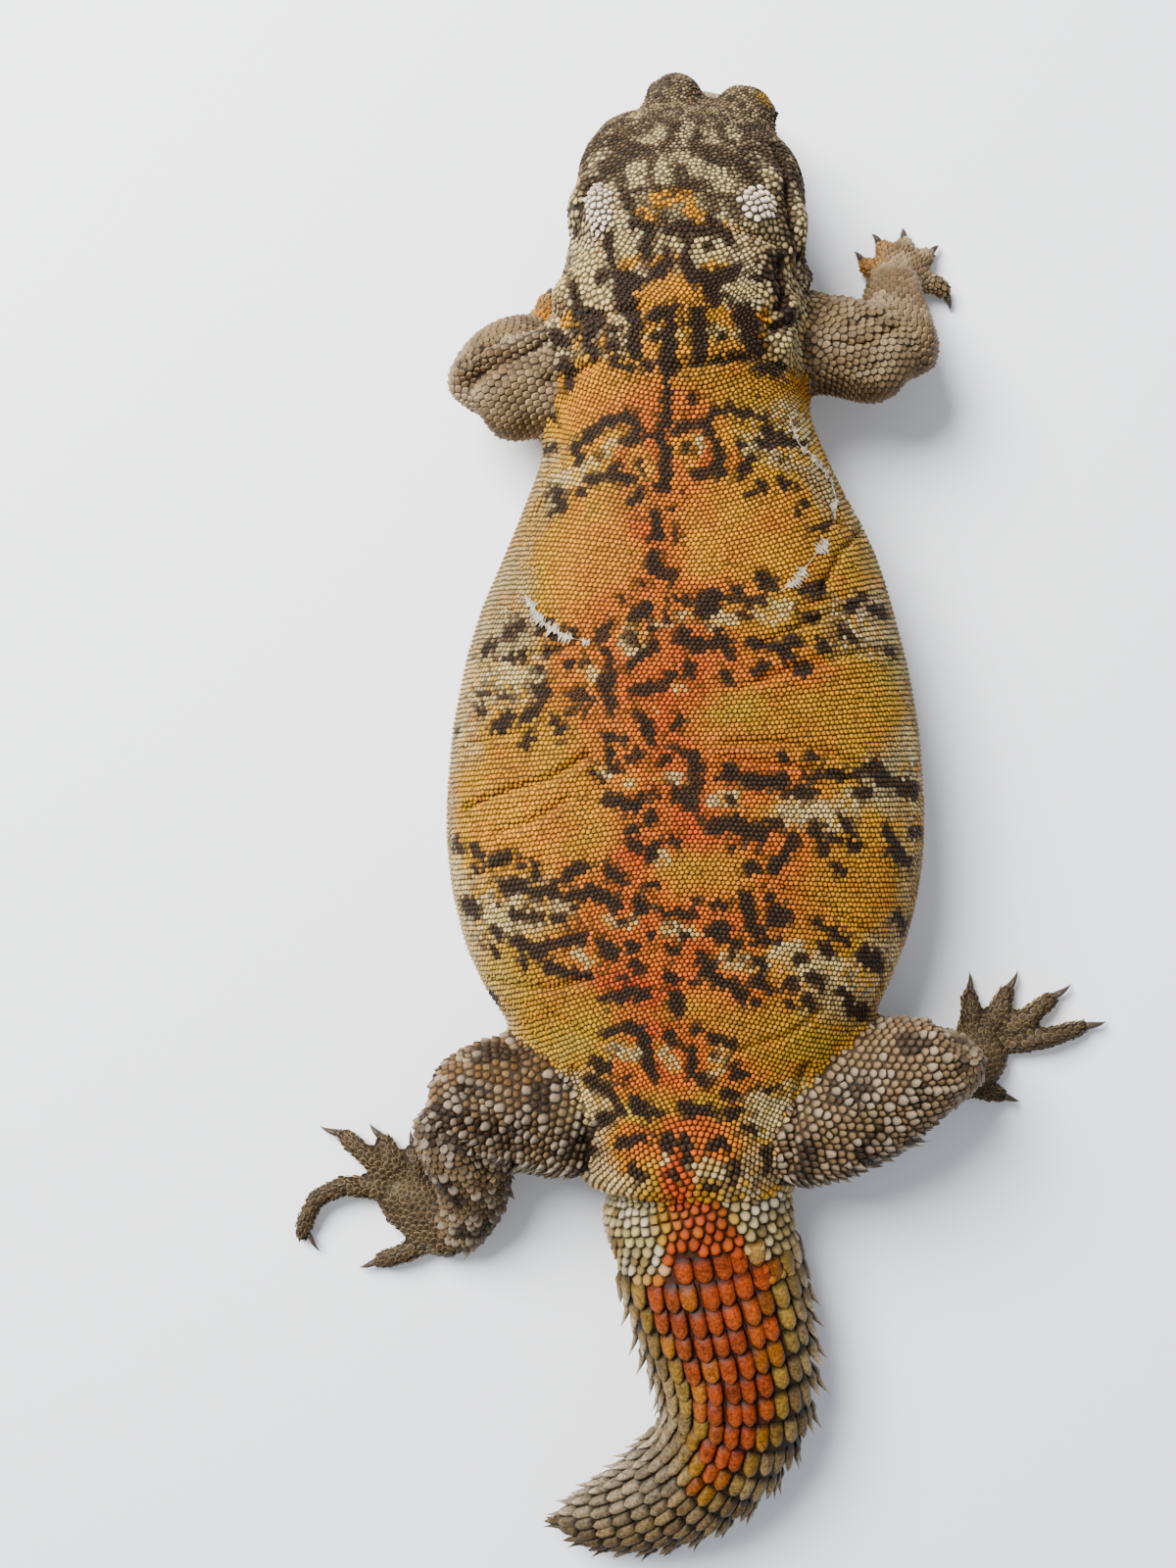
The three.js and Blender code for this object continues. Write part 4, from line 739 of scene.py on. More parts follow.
def paint(points, owners, up):
    """The animal's colours at points on it; up is how far each point's surface faces upwards.

    Limits along the body are its y, from -93 at the snout to 103 at the tail's last spines.
    Each pattern of noise has a size in millimetres and a seed of its own.
    """
    kind = PART_OF[owners]
    plan = points[:, :2]
    trunk = np.isin(kind, ["trunk", "neck"])
    head = np.isin(kind, ["head", "jaw"])
    tail = kind == "tail"
    limb = ~trunk & ~head & ~tail
    colours = paint_trunk(points, plan, up)
    colours = paint_head(colours, points, plan, up, head)
    colours = paint_limbs(colours, points, plan, up, kind, limb)
    if tail.any():
        colours[tail] = paint_tail(points[tail], up[tail])

    wobble = (noise(points, 1.1, 1) - 0.5) * 0.9 + (noise(points, 0.5, 2) - 0.5) * 0.6 - 0.12
    ink_here = 1 - 0.2 * head
    upper = ramp(up, -0.15, 0.15) * (trunk | head | (limb & (plan[:, 1] > 0)))
    patchy = upper * (0.35 + 0.6 * ramp(noise(points, 0.6, 14), 0.35, 0.5))
    strokes(colours, plan, wobble, PALE, WHITE, patchy * head)
    strokes(colours, plan, wobble, PALE, CREAM, patchy * ~head)
    strokes(colours, plan, wobble + 0.1, TAN, SAND, head * ramp(up, -0.1, 0.2) * 0.95)
    behind_eyes = ramp(plan[:, 1], -86, -82)
    strokes(colours, plan, wobble, GOLD, YELLOW, upper * 0.85 * behind_eyes)
    strokes(colours, plan, wobble, GOLD, LID_YELLOW, upper * 0.85 * (1 - behind_eyes))
    freckles = wobble + 2.5 * (1 - ramp(noise(points, 0.5, 15), 0.60, 0.68)) - 0.75
    strokes(colours, plan, freckles, DARK, BROWN, upper * 0.8, 0.25)
    strokes(colours, plan, wobble + 0.12 * head, DARK, INK, upper * ink_here, 0.25)
    grey = colours.mean(axis=1, keepdims=True)
    return np.maximum(grey + SATURATION * (colours - grey), 0.003) * PIGMENT


# The coat: scales of horn, each grown from a root on the hide. A scale's outline is the room
# that its neighbours leave it, and its form is a few rings that rise from there to a top.
# The roots stand in rings round trunk, legs and digits, and strewn where those leave room.
chance = np.random.default_rng(7)
MIDLINE = 0.7
# The temples' two fields of large scales: middle, spacing and reach, and the height to be above.
CONES = [(11.2, -70.2, 0.68, (1.6, 3.3)), (-8.2, -70.4, 0.85, (2.5, 2.7))]
CONES_ABOVE = 17
LIP_WIDTH, LIP_SPACING = 1.6, 0.78
LIMB_SPACING = {"upper_arm": 0.95, "forearm": 0.95, "thigh": 1.1, "shank": 1.1, "hand": 0.8, "foot": 0.95}


def on_cone(points, x, y, reach):
    """Whether points lie on one of the two fields of large scales at the temples."""
    away = np.hypot((points[:, 0] - x) / reach[0], (points[:, 1] - y) / reach[1])
    return (away < 1) & (points[:, 2] > CONES_ABOVE)


def wanted_size(points, names):
    """The spacing of scales at points on the hide, by the part that they are on.

    The back's are 0.60, more at the flanks and towards the tail, and the head's are 0.44 round
    the eyes and on the snout, more at the temples and the nape.
    """
    sizes = np.full(len(points), 0.9)
    y = points[:, 1]
    off = np.abs(points[:, 0] - MIDLINE)
    side = np.where(points[:, 0] > 0, 0.12, 0.26)
    back = 0.60 + (0.04 + side * ramp(off, 7, 12)) * (1 - ramp(y, -60, -44)) + 0.5 * ramp(y, 38, 53)
    trunk = np.isin(names, ["trunk", "neck"])
    sizes[trunk] = (back * (1 + 0.5 * (1 - ramp(points[:, 2], 2.5, 4))))[trunk]
    head = np.isin(names, ["head", "jaw"])
    crown = 0.44 + 0.20 * ramp(y[head], -86, -76) * ramp(off[head], 4, 11) + 0.08 * ramp(y[head], -86, -72)
    sizes[head] = crown
    for x, y_place, width, reach in CONES:
        sizes[on_cone(points, x, y_place, reach) & (head | trunk)] = width
    lips = np.minimum(distance_to(points, on_head(MOUTH, 1)), distance_to(points, on_head(MOUTH, -1)))
    sizes[head & (lips < LIP_WIDTH)] = LIP_SPACING
    sizes[names == "tail"] = (0.95 + 0.6 * ramp(y, 49.5, 57))[names == "tail"]
    for part, size in LIMB_SPACING.items():
        sizes[names == part] = size
    return sizes


# The lines of middles that the rings of roots stand round, for the trunk and then each bone.
SPINE = [(0.4, -76, 15), (0.4, -70, 14), (0.6, -60, 12), (0.3, -45, 11), (-0.2, -20, 10), (-0.2, 10, 10),
         (-0.3, 30, 10), (-0.5, 44, 10), (-1.2, 54, 9)]
LIMBS = {  # each bone's line of middles, and how far its flesh reaches from them
    "upper_arm_front_right": (8, [(-10, -55.8, 12), (-21.6, -56.4, 12.8), (-30.5, -53.6, 11)]),
    "forearm_front_right": (7, [(-28.6, -51, 11), (-28, -59.8, 9.8), (-28.8, -67.8, 4.2)]),
    "upper_arm_front_left": (8, [(10, -54, 12), (20, -51.6, 12.4), (27.5, -49.2, 11)]),
    "forearm_front_left": (7, [(27.4, -47, 10.8), (24.6, -55, 10), (20, -60.2, 4.4)]),
    "thigh_back_right": (11, [(-8, 44.6, 10.5), (-19.4, 41.8, 12.8), (-36.4, 33.4, 14.2)]),
    "shank_back_right": (8, [(-35, 31.4, 14.8), (-32.8, 38, 10.2), (-31.4, 42.8, 4)]),
    "thigh_back_left": (11, [(7.5, 44, 10.4), (19, 41.2, 11.8), (34.2, 43.6, 11.6)]),
    "shank_back_left": (8, [(32, 39, 12), (28.4, 48, 10.4), (28.6, 58.2, 5.2), (30.2, 62, 3)]),
}
PALMS = {  # each hand's or foot's line, then its digits as far as the claws
    "hand_front_right": ([(-28.8, -65.8, 3.6), (-31.4, -72, 1.6)], [
        [(-27.8, -69, 1.6), (-26.2, -69.6, 2.3), (-24.6, -71.2, 1.2)],
        [(-28.8, -70.4, 1.6), (-28, -71.9, 2.5), (-27.2, -73.6, 1.2)],
        [(-30.4, -70.6, 1.6), (-30.4, -72.3, 2.6), (-30.5, -74.2, 1.2)],
        [(-31.8, -69.8, 1.6), (-32.8, -71, 2.5), (-34.2, -72.4, 1.2)],
        [(-32.4, -68, 1.6), (-34.6, -67.8, 2.3), (-36.5, -66.2, 1.2)]]),
    "hand_front_left": ([(20.6, -60, 3.6), (15.6, -61.8, 1.6)], [
        [(16.4, -59, 1.6), (14.6, -58.2, 2.1), (12.6, -57.4, 1.2)],
        [(15.6, -60.4, 1.6), (13.4, -60.2, 2.3), (11, -60.2, 1.2)],
        [(15.4, -61.8, 1.6), (13.2, -62.4, 2.4), (11, -63.4, 1.2)],
        [(16.4, -62.8, 1.6), (15, -64.4, 2.3), (13.6, -66.2, 1.2)],
        [(18.4, -62.6, 1.6), (18.4, -64.6, 2.2), (17.8, -66.6, 1.2)]]),
    "foot_back_right": ([(-30.4, 43.6, 3), (-43.8, 34.4, 1.7)], [
        [(-38.9, 34.6, 1.7), (-39.3, 31.4, 2.3), (-39.4, 27.8, 1.3)],
        [(-41.4, 33.6, 1.7), (-43, 30.6, 2.4), (-44.8, 27.6, 1.3)],
        [(-44, 33.4, 1.7), (-47.4, 31.2, 2.6), (-51, 28.8, 1.3)],
        [(-44.8, 35.2, 1.7), (-50, 34.2, 2.8), (-55.4, 32.8, 1.3)],
        [(-37.4, 40.4, 1.7), (-40.8, 41.4, 2.2), (-44.4, 42.5, 1.3)]]),
    "foot_back_left": ([(28.6, 62, 3), (39.6, 54, 1.7)], [
        [(35.8, 54.6, 1.7), (35.9, 51.8, 2.2), (36.2, 48.8, 1.3)],
        [(37.4, 53.6, 1.7), (39, 50.6, 2.4), (40.8, 47.8, 1.3)],
        [(39, 53.4, 1.7), (42.6, 50.2, 2.6), (46.2, 47.6, 1.3)],
        [(39.4, 55.4, 1.7), (44.8, 54.2, 2.6), (49.8, 56.6, 2.3), (51.2, 61.8, 1.3)],
        [(33.6, 61.6, 1.7), (37.6, 63.7, 2.2), (41.4, 64.9, 1.3)]]),
}
PALM_REACH, DIGIT_REACH = 5, 2
flesh_names = np.array(flesh)


def settle(points):
    """Drops points onto the hide, with its smooth normal and the name of the part there."""
    found = [hide_tree.find_nearest(point) for point in points.tolist()]
    places = np.array([hit[0][:] for hit in found])
    corners = hide_faces[[hit[2] for hit in found]]
    normals = unit(hide_normals[corners].sum(axis=1))
    return places, normals, hide_owner[corners[:, 0]]


def lengths_along(points):
    """How far along a line of points each of them is."""
    return np.concatenate([[0], np.cumsum(np.linalg.norm(np.diff(points, axis=0), axis=1))])


def read_along(wanted, places, points):
    """The points at wanted places of a line, given the place of each of its points."""
    return np.stack([np.interp(wanted, places, points[:, axis]) for axis in range(3)], axis=1)


def tree_of(points):
    """A search tree, for finding the nearest of some points."""
    tree = KDTree(len(points))
    for index, point in enumerate(points.tolist()):
        tree.insert(point, index)
    tree.balance()
    return tree


def rings_of_roots(path, owner_names, reach, size_of, fan=0.0):
    """Rows of roots round a part: the points, and the direction in which they lie."""
    fine = along(path, 300)
    steps = np.concatenate([[0], np.linalg.norm(np.diff(fine, axis=0), axis=1)])
    sizes = size_of(fine)
    rows = np.cumsum(steps / (0.90 * sizes))
    wanted = np.arange(0.5, rows[-1])
    centres = read_along(wanted, rows, fine)
    sizes = np.interp(wanted, rows, sizes)
    forward, side, up = frames_along(centres)
    allowed = np.isin(flesh_names[hide_owner], owner_names)
    points, lies = [], []
    for row, centre in enumerate(centres):
        count = int(2 * np.pi * reach / (0.7 * sizes[row]))
        angles = np.linspace(-np.pi, np.pi, count, endpoint=False)
        rays = np.sin(angles)[:, None] * side[row] + np.cos(angles)[:, None] * up[row]
        shift = fan * (centre[1] + 4 + 8 * np.sin(angles)) * np.sin(angles) ** 2
        starts = centre + shift[:, None] * forward[row]
        hits = [hide_tree.ray_cast(start, ray, reach) for start, ray in zip(starts.tolist(), rays.tolist())]
        good = np.array([hit[0] is not None and allowed[hide_faces[hit[2]][0]] for hit in hits])
        if good.sum() < 3:
            continue
        spots = np.array([hit[0][:] if ok else start + ray * reach * 0.8
                          for hit, ok, start, ray in zip(hits, good, starts, rays)])
        broad = 1 + 0.95 * (1 - ramp(np.cos(angles[1:]), -0.8, -0.35))
        length = np.cumsum(np.linalg.norm(np.diff(spots, axis=0), axis=1) / broad)
        length = np.concatenate([[0], length])
        middle = length[count // 2]
        pitch = 1.04 * sizes[row]
        first = -np.floor(middle / pitch) + 0.5 * (row % 2)
        marks = middle + pitch * np.arange(first, (length[-1] - middle) / pitch)
        marks = marks[np.interp(marks, length, good.astype(float)) > 0.99]
        points.append(read_along(marks, length, spots))
        lies.append(np.tile(forward[row], (len(marks), 1)))
    return np.vstack(points), np.vstack(lies)


CELL = 1.4


def scattered_roots(owner_names, taken, size_of, tries):
    """Roots strewn evenly over what the rows have left bare, or over a whole part."""
    inside = np.isin(flesh_names[hide_owner[hide_faces]], owner_names).any(axis=1)
    faces = hide_faces[inside]
    corners = hide_points[faces]
    crosses = np.cross(corners[:, 1] - corners[:, 0], corners[:, 2] - corners[:, 0])
    areas = np.linalg.norm(crosses, axis=1)
    chosen = chance.choice(len(faces), tries, p=areas / areas.sum())
    a, b = chance.random((2, tries, 1))
    fold = (a + b) > 1
    a, b = np.where(fold, 1 - a, a), np.where(fold, 1 - b, b)
    triangles = corners[chosen]
    candidates = triangles[:, 0] + a * (triangles[:, 1] - triangles[:, 0])
    candidates = candidates + b * (triangles[:, 2] - triangles[:, 0])
    sizes = size_of(candidates)
    tree = tree_of(taken)
    free = np.array([tree.find(point)[2] for point in candidates.tolist()]) > 0.82 * sizes
    candidates, sizes = candidates[free], sizes[free]
    around = [(i, j, k) for i in (-1, 0, 1) for j in (-1, 0, 1) for k in (-1, 0, 1)]
    grid = {}
    kept = []
    for index, (point, size) in enumerate(zip(candidates.tolist(), sizes.tolist())):
        x, y, z = (int(value // CELL) for value in point)
        limit = (0.84 * size) ** 2
        near = (grid.get((x + i, y + j, z + k), ()) for i, j, k in around)
        if all((point[0] - q[0]) ** 2 + (point[1] - q[1]) ** 2 + (point[2] - q[2]) ** 2 > limit
               for group in near for q in group):
            grid.setdefault((x, y, z), []).append(point)
            kept.append(index)
    return candidates[kept]


NEIGHBOURS = 10


def outlines(points, normals, lies, sizes, sides, cap):
    """How far each scale reaches in each direction before it meets its neighbours."""
    found = [root_tree.find_n(point, NEIGHBOURS)[1:] for point in points.tolist()]
    neighbours = np.array([[other for _, other, _ in near] for near in found])
    away = all_points[neighbours] - points[:, None]
    across = np.cross(normals, lies)
    run = np.einsum("nmk,nk->nm", away, lies)
    swing = np.einsum("nmk,nk->nm", away, across)
    share = sizes[:, None] / (sizes[:, None] + all_sizes[neighbours])
    room = share * (run**2 + swing**2)
    reach = np.empty((len(points), sides))
    for side in range(sides):
        turn = 2 * np.pi * side / sides
        facing = run * math.cos(turn) + swing * math.sin(turn)
        limit = np.where(facing > 1e-4, room / np.maximum(facing, 1e-4), 1e9)
        reach[:, side] = np.minimum(limit.min(axis=1), cap * sizes)
    return reach


OUTLINE_CAP = 0.75  # the longest reach of a scale, in its own sizes
PATCH = 0.0013  # each scale takes up a disc of this size on the baked map


def grow(points, normals, lies, sizes, colours, places, form):
    """The corners, triangles, colours and map places of scales of one form."""
    sides = form["sides"]
    reach = outlines(points, normals, lies, sizes, sides, OUTLINE_CAP) * form.get("gap", 0.93)
    turn = 2 * np.pi * np.arange(sides) / sides
    across = np.cross(normals, lies)
    outward = np.cos(turn)[None, :, None] * lies[:, None] + np.sin(turn)[None, :, None] * across[:, None]
    size = sizes[:, None, None]
    stand = 1 + form.get("flank", 0) * (1 - np.abs(normals[:, 2:])) ** 2
    layers, shades, spreads = [], [], []
    for spread, rise, push, shade in form["rings"]:
        ring = points[:, None] + spread * reach[:, :, None] * outward
        lift = rise + form["lean"] * max(rise, 0) * stand * np.cos(turn)
        # The light setting paints each scale's rear edge lighter and its front edge darker, as painted
        # light and shade.
        shade = shade * (1 + form.get("light", 0.18) * np.cos(turn))
        ring = ring + lift[:, :, None] * size * normals[:, None] + push * size * lies[:, None]
        layers.append(ring)
        shades += list(shade)
        spreads += [spread] * sides
    rise, push, shade = form["top"]
    layers.append(points[:, None] + rise * size * normals[:, None] + push * size * lies[:, None])
    corners = np.concatenate(layers, axis=1)
    rings = len(form["rings"])
    here = np.arange(sides)
    last = (rings - 1) * sides
    cap = np.stack([last + here, last + (here + 1) % sides, np.full(sides, rings * sides)], axis=1)
    faces = np.vstack([tube_faces(rings, sides), cap])
    faces = faces[None] + (np.arange(len(points)) * corners.shape[1])[:, None, None]
    # The tints carry each ring's painted shade and painted highlight.
    tints = colours[:, None] * np.array(shades + [shade])[None, :, None]
    circle = np.stack([np.cos(turn), np.sin(turn)], axis=1)
    patch = np.concatenate([circle] * rings + [np.zeros((1, 2))])
    patch *= np.array(spreads + [0])[:, None] * PATCH
    spots = places[:, None] + patch[None]
    return corners.reshape(-1, 3), faces.reshape(-1, 3), tints.reshape(-1, 3), spots.reshape(-1, 2)


class Links:
    """A shader socket, on which Python's operators add the nodes for their sums."""

    def __init__(self, tree, socket):
        self.tree, self.socket = tree, socket

    def node(self, kind, settings=(), output=0, **sockets):
        node = self.tree.nodes.new(kind)
        for key, value in dict(settings).items():
            setattr(node, key, value)
        for key, value in sockets.items():
            place = int(key[1:]) if key[1:].isdigit() else key.replace("_", " ")
            if isinstance(value, Links):
                self.tree.links.new(value.socket, node.inputs[place])
            else:
                node.inputs[place].default_value = value
        return Links(self.tree, node.outputs[output])

    def sum(self, operation, first, second):
        return self.node("ShaderNodeMath", {"operation": operation}, _0=first, _1=second)

    def into(self, socket):
        self.tree.links.new(self.socket, socket)

    def __add__(self, other):
        return self.sum("ADD", self, other)

    def __sub__(self, other):
        return self.sum("SUBTRACT", self, other)

    def __rsub__(self, other):
        return self.sum("SUBTRACT", other, self)

    def __mul__(self, other):
        return self.sum("MULTIPLY", self, other)

    __radd__ = __add__
    __rmul__ = __mul__


def new_material(name, roughness):
    """A material, a start for its nodes, and the inputs of its shader."""
    material = bpy.data.materials.new(name)
    material.use_nodes = True
    inputs = material.node_tree.nodes["Principled BSDF"].inputs
    inputs["Roughness"].default_value = roughness
    return material, Links(material.node_tree, None), inputs


MULTIPLY = {"data_type": "RGBA", "blend_type": "MULTIPLY"}


def finish(name, roughness, grain, strength, darkest=0.8):
    """A finish whose colour comes from the pigment laid on the mesh, with a fine grain."""
    material, start, inputs = new_material(name, roughness)
    place = start.node("ShaderNodeTexCoord", output=3)
    pigment = start.node("ShaderNodeVertexColor", {"layer_name": "pigment"})
    speckle = start.node("ShaderNodeTexNoise", Vector=place, Scale=1.0 / (grain * MM), Detail=3.0)
    shade = start.node("ShaderNodeMapRange", Value=speckle, From_Min=0.3, From_Max=0.7,
                       To_Min=darkest, To_Max=1.15)
    colour = start.node("ShaderNodeMix", MULTIPLY, output=2, _0=1.0, _6=pigment, _7=shade)
    colour.into(inputs["Base Color"])
    (roughness + (speckle - 0.5) * 0.3).into(inputs["Roughness"])
    bump = start.node("ShaderNodeBump", Height=speckle, Strength=strength, Distance=0.05 * MM)
    bump.into(inputs["Normal"])
    inputs["Specular IOR Level"].default_value = 0.12
    return material


def lay_pigment(obj, colours):
    """Sets the colour of each point of a mesh."""
    layer = obj.data.color_attributes.new("pigment", "FLOAT_COLOR", "POINT")
    opaque = np.hstack([colours, np.ones((len(colours), 1))])
    layer.data.foreach_set("color", opaque.astype(np.float32).ravel())


def make_piece(name, chunk, material):
    """One mesh from corners, triangles, colours and map places."""
    corners, faces, tints, spots = chunk
    obj = build_mesh(name, corners, faces)
    lay_pigment(obj, tints)
    layer = obj.data.uv_layers.new(name="OFBake")
    layer.data.foreach_set("uv", spots[faces.ravel()].astype(np.float32).ravel())
    obj.data.materials.append(material)
    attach(obj, "root")


# The places of the scales on the baked map come from an unwrap of the solids.
GROUPS = {"head": ["head", "jaw"], "body": ["neck", "trunk"],
          "tail": ["tail_base", "tail_middle", "tail_tip"],
          "front_legs": [name for name in flesh if "_front_" in name],
          "back_legs": [name for name in flesh if "_back_" in name]}
unwrap = np.zeros((len(cad_faces), 3, 2))
for members in GROUPS.values():
    mine = np.flatnonzero(np.isin(flesh_names[cad_owner], members))
    shell = build_mesh("shell", cad_points, cad_faces[mine])
    bpy.context.view_layer.objects.active = shell
    bpy.ops.object.mode_set(mode="EDIT")
    bpy.ops.mesh.select_all(action="SELECT")
    bpy.ops.uv.smart_project(angle_limit=1.2, island_margin=0.004)
    bpy.ops.object.mode_set(mode="OBJECT")
    spots = np.empty(len(mine) * 6)
    shell.data.uv_layers[0].data.foreach_get("uv", spots)
    unwrap[mine] = spots.reshape(-1, 3, 2)
    bpy.data.objects.remove(shell)


def map_places(points):
    """Where points lie on the unwrapped solids."""
    found = [cad_tree.find_nearest(point) for point in points.tolist()]
    spots = np.array([hit[0][:] for hit in found])
    index = np.array([hit[2] for hit in found])
    a, b, c = (cad_points[cad_faces[index, k]] for k in range(3))
    whole = np.cross(b - a, c - a)
    area = np.maximum((whole**2).sum(axis=1), 1e-12)
    share_b = (np.cross(spots - a, c - a) * whole).sum(axis=1) / area
    share_c = (np.cross(b - a, spots - a) * whole).sum(axis=1) / area
    ua, ub, uc = (unwrap[index, k] for k in range(3))
    return ua + share_b[:, None] * (ub - ua) + share_c[:, None] * (uc - ua)


def size_for(part):
    return lambda points: wanted_size(points, np.full(len(points), part))


def add_rows(path, names, reach, part, fan=0.0):
    """Puts rows of roots round a part with those that are set already."""
    spots, ways = rings_of_roots(path, names, reach, size_for(part), fan)
    taken.append(spots)
    lies.append(ways)


# The rows of roots round the trunk, legs and digits. Beside the nape they would lie askew, so
# that skin is left for strewn roots. Those on the hind legs are set less evenly.
TRUNK_REACH, TRUNK_FAN = 34, 0.2
taken, lies = [], []
add_rows(SPINE, ["trunk", "neck"], TRUNK_REACH, "trunk", TRUNK_FAN)
for name, (reach, path) in LIMBS.items():
    add_rows(path, [name], reach, part_of(name))
for name, (palm, digits) in PALMS.items():
    add_rows(palm, [name], PALM_REACH, part_of(name))
    for digit in digits:
        add_rows(digit, [name], DIGIT_REACH, part_of(name))
taken, lies = np.vstack(taken), np.vstack(lies)
off = np.abs(taken[:, 0] - MIDLINE)
nape_sides = (taken[:, 1] < -52) & (off > 8.5) & (np.abs(taken[:, 0]) < 19) & (taken[:, 2] > 6)
taken, lies, off = taken[~nape_sides], lies[~nape_sides], off[~nape_sides]
on_limb = (off > 17 + 12 * (np.abs(taken[:, 1]) < 34)) & (taken[:, 1] > 0)
taken = taken + chance.normal(0, 1, taken.shape) * np.where(on_limb, 0.13, 0.05)[:, None]

# The head's roots: two rings of lashes round each eye, a row on each lip, and the rest strewn,
# clear of the nostrils and the ear slits.
LASHES = ((0.80, 26, 0.42), (0.98, 26, 0.55))
LASH_RING = (2.75, 2.25)
LIP_ROOTS, LIP_SHIFT = 44, 0.75
HEAD_TRIES = 70000
NOSTRIL_ROOM, EAR_ROOM = 0.75, 0.8
lash_roots, lash_sizes, lip_roots = [], [], []
for side in (1, -1):
    for spread, count, size in LASHES:
        angles = np.linspace(0, 2 * np.pi, count, endpoint=False)[:, None]
        ring = EYE + np.hstack([LASH_RING[0] * spread * np.cos(angles), np.zeros((count, 1)),
                                LASH_RING[1] * spread * np.sin(angles)])
        lash_roots.append(settle(on_head(ring, side))[0])
        lash_sizes += [size] * count
    for shift in (LIP_SHIFT, -LIP_SHIFT):
        lip_line = along(np.array(MOUTH) + (0, 0, shift), LIP_ROOTS)
        lip_roots.append(settle(on_head(lip_line, side))[0])
set_head = np.vstack(lash_roots + lip_roots)
head_roots = scattered_roots(["head", "jaw"], set_head, size_for("head"), HEAD_TRIES)
for side in (1, -1):
    nostril_gap = np.linalg.norm(head_roots - on_head(NOSTRIL, side), axis=1)
    head_roots = head_roots[nostril_gap > NOSTRIL_ROOM]
    head_roots = head_roots[distance_to(head_roots, on_head(EAR, side)) > EAR_ROOM]
lashes = slice(len(taken), len(taken) + len(lash_sizes))
taken = np.vstack([taken, set_head, head_roots])
head_way = np.tile(-HEAD_AXES[0], (len(set_head) + len(head_roots), 1))
lies = np.vstack([lies, head_way])

# The tail's root has rows of scales too, up to the first whorl of shields, which bows round it.
# Then roots are strewn over all that is still bare, each lying as its nearest neighbour does.
TAIL_ROOT = [(0.6, 47, 9.1), (-1.6, 54.5, 9), (-3.4, 61, 8.8), (-4.4, 66, 8.6)]
TAIL_REACH = 15
FILLS = {"trunk": ("body", 180000), "upper_arm": ("front_legs", 60000), "thigh": ("back_legs", 60000)}
FILL_SPACING = 0.92
TAIL_FLESH = ["tail_base", "tail_middle"]
spots, ways = rings_of_roots(TAIL_ROOT, TAIL_FLESH, TAIL_REACH, size_for("tail"))
whorl_edge = 59.6 + 4.2 * ramp(np.abs(spots[:, 0] + 3), 4.5, 6.5)
ahead = (spots[:, 1] < whorl_edge) & (spots[:, 1] > 49)
spots = spots + chance.normal(0, 0.12, spots.shape)
taken, lies = np.vstack([taken, spots[ahead]]), np.vstack([lies, ways[ahead]])
for part, (group, tries) in FILLS.items():
    extra = scattered_roots(GROUPS[group], taken, lambda p: size_for(part)(p) * FILL_SPACING, tries)
    ear_gap = [distance_to(extra, on_head(EAR, side)) for side in (1, -1)]
    extra = extra[np.minimum(*ear_gap) > EAR_ROOM]
    tree = tree_of(taken)
    lies = np.vstack([lies, lies[[tree.find(point)[1] for point in extra.tolist()]]])
    taken = np.vstack([taken, extra])

# All the roots' sizes and colours. Scales of the hind legs differ most, with some large pale
# ones, and a fringe of spines stands along the legs' rear edges. Belly scales are wider.
BELLY_GROWTH = 1.25
SPINE_SHARE = {"thigh": 0.7, "shank": 0.1}
SWOLLEN = (0.27, 0.21, 0.145)
SPINE_TINT = (0.27, 0.22, 0.15)
SHANK_SHADE = 0.84
THIGH_SHADE = (0.96, 0.93, 0.89)
LASH_SHADE = 0.45
all_points, normals, owner = settle(taken)
names = PART_OF[owner]
lies = unit(lies - (lies * normals).sum(axis=1)[:, None] * normals)
all_sizes = wanted_size(all_points, names) * (0.9 + 0.2 * chance.random(len(all_points)))
all_sizes[lashes] = lash_sizes
all_sizes[np.isin(names, ["trunk", "neck"]) & (normals[:, 2] < -0.4)] *= BELLY_GROWTH
hind = np.isin(names, ["thigh", "shank"])
swell = chance.random(len(all_points)) ** 4
all_sizes[hind] *= (0.84 + 0.85 * swell)[hind]
rearward = normals[:, 1] - 0.7 * np.sign(all_points[:, 0]) * normals[:, 0]
fringe = hind & (rearward > 0.35) & (np.abs(normals[:, 2]) < 0.55)
spine_share = np.where(names == "thigh", SPINE_SHARE["thigh"], SPINE_SHARE["shank"])
fringe &= chance.random(len(all_points)) < spine_share
root_tree = tree_of(all_points)
strewn = all_points + chance.normal(0, 0.16, all_points.shape)
root_colours = paint(strewn, owner, normals[:, 2]) * (0.74 + 0.52 * chance.random((len(all_points), 1)))
root_colours[lashes] *= LASH_SHADE
swollen = hind * ramp(swell, 0.12, 0.6) * ramp(normals[:, 2], -0.3, 0.3)
root_colours = blend(root_colours, SWOLLEN, swollen * 0.7)
root_colours[names == "shank"] *= SHANK_SHADE
root_colours[names == "thigh"] *= THIGH_SHADE
root_colours = blend(root_colours, SPINE_TINT, fringe * 0.5)
root_spots = map_places(all_points)

# The hide's colour is that of the scales over it, darkened as painted shade, as it shows only between them.
# The painted shade is deepest inside the nostrils and the ear slits, and lighter on the pale underside.
PAINTED_GAP_SHADE = (0.010, 0.007, 0.005)
hide.data.materials.append(finish("hide", 0.7, 0.5, 0.4))
# gaps: the painted shade between the scales, deeper on the back than underneath, and deepest at the holes
# below.
gaps = 0.14 + 0.4 * (1 - ramp(hide_normals[:, 2], -0.4, 0.0))
for side in (1, -1):
    for hole in (NOSTRIL, *EAR):
        hole_gap = np.linalg.norm(hide_points - on_head(hole, side), axis=1)
        gaps *= 0.15 + 0.85 * ramp(hole_gap, 0.5, 1.6)
hide_colours = paint(hide_points, hide_owner, hide_normals[:, 2])
lay_pigment(hide, hide_colours * gaps[:, None] + PAINTED_GAP_SHADE)
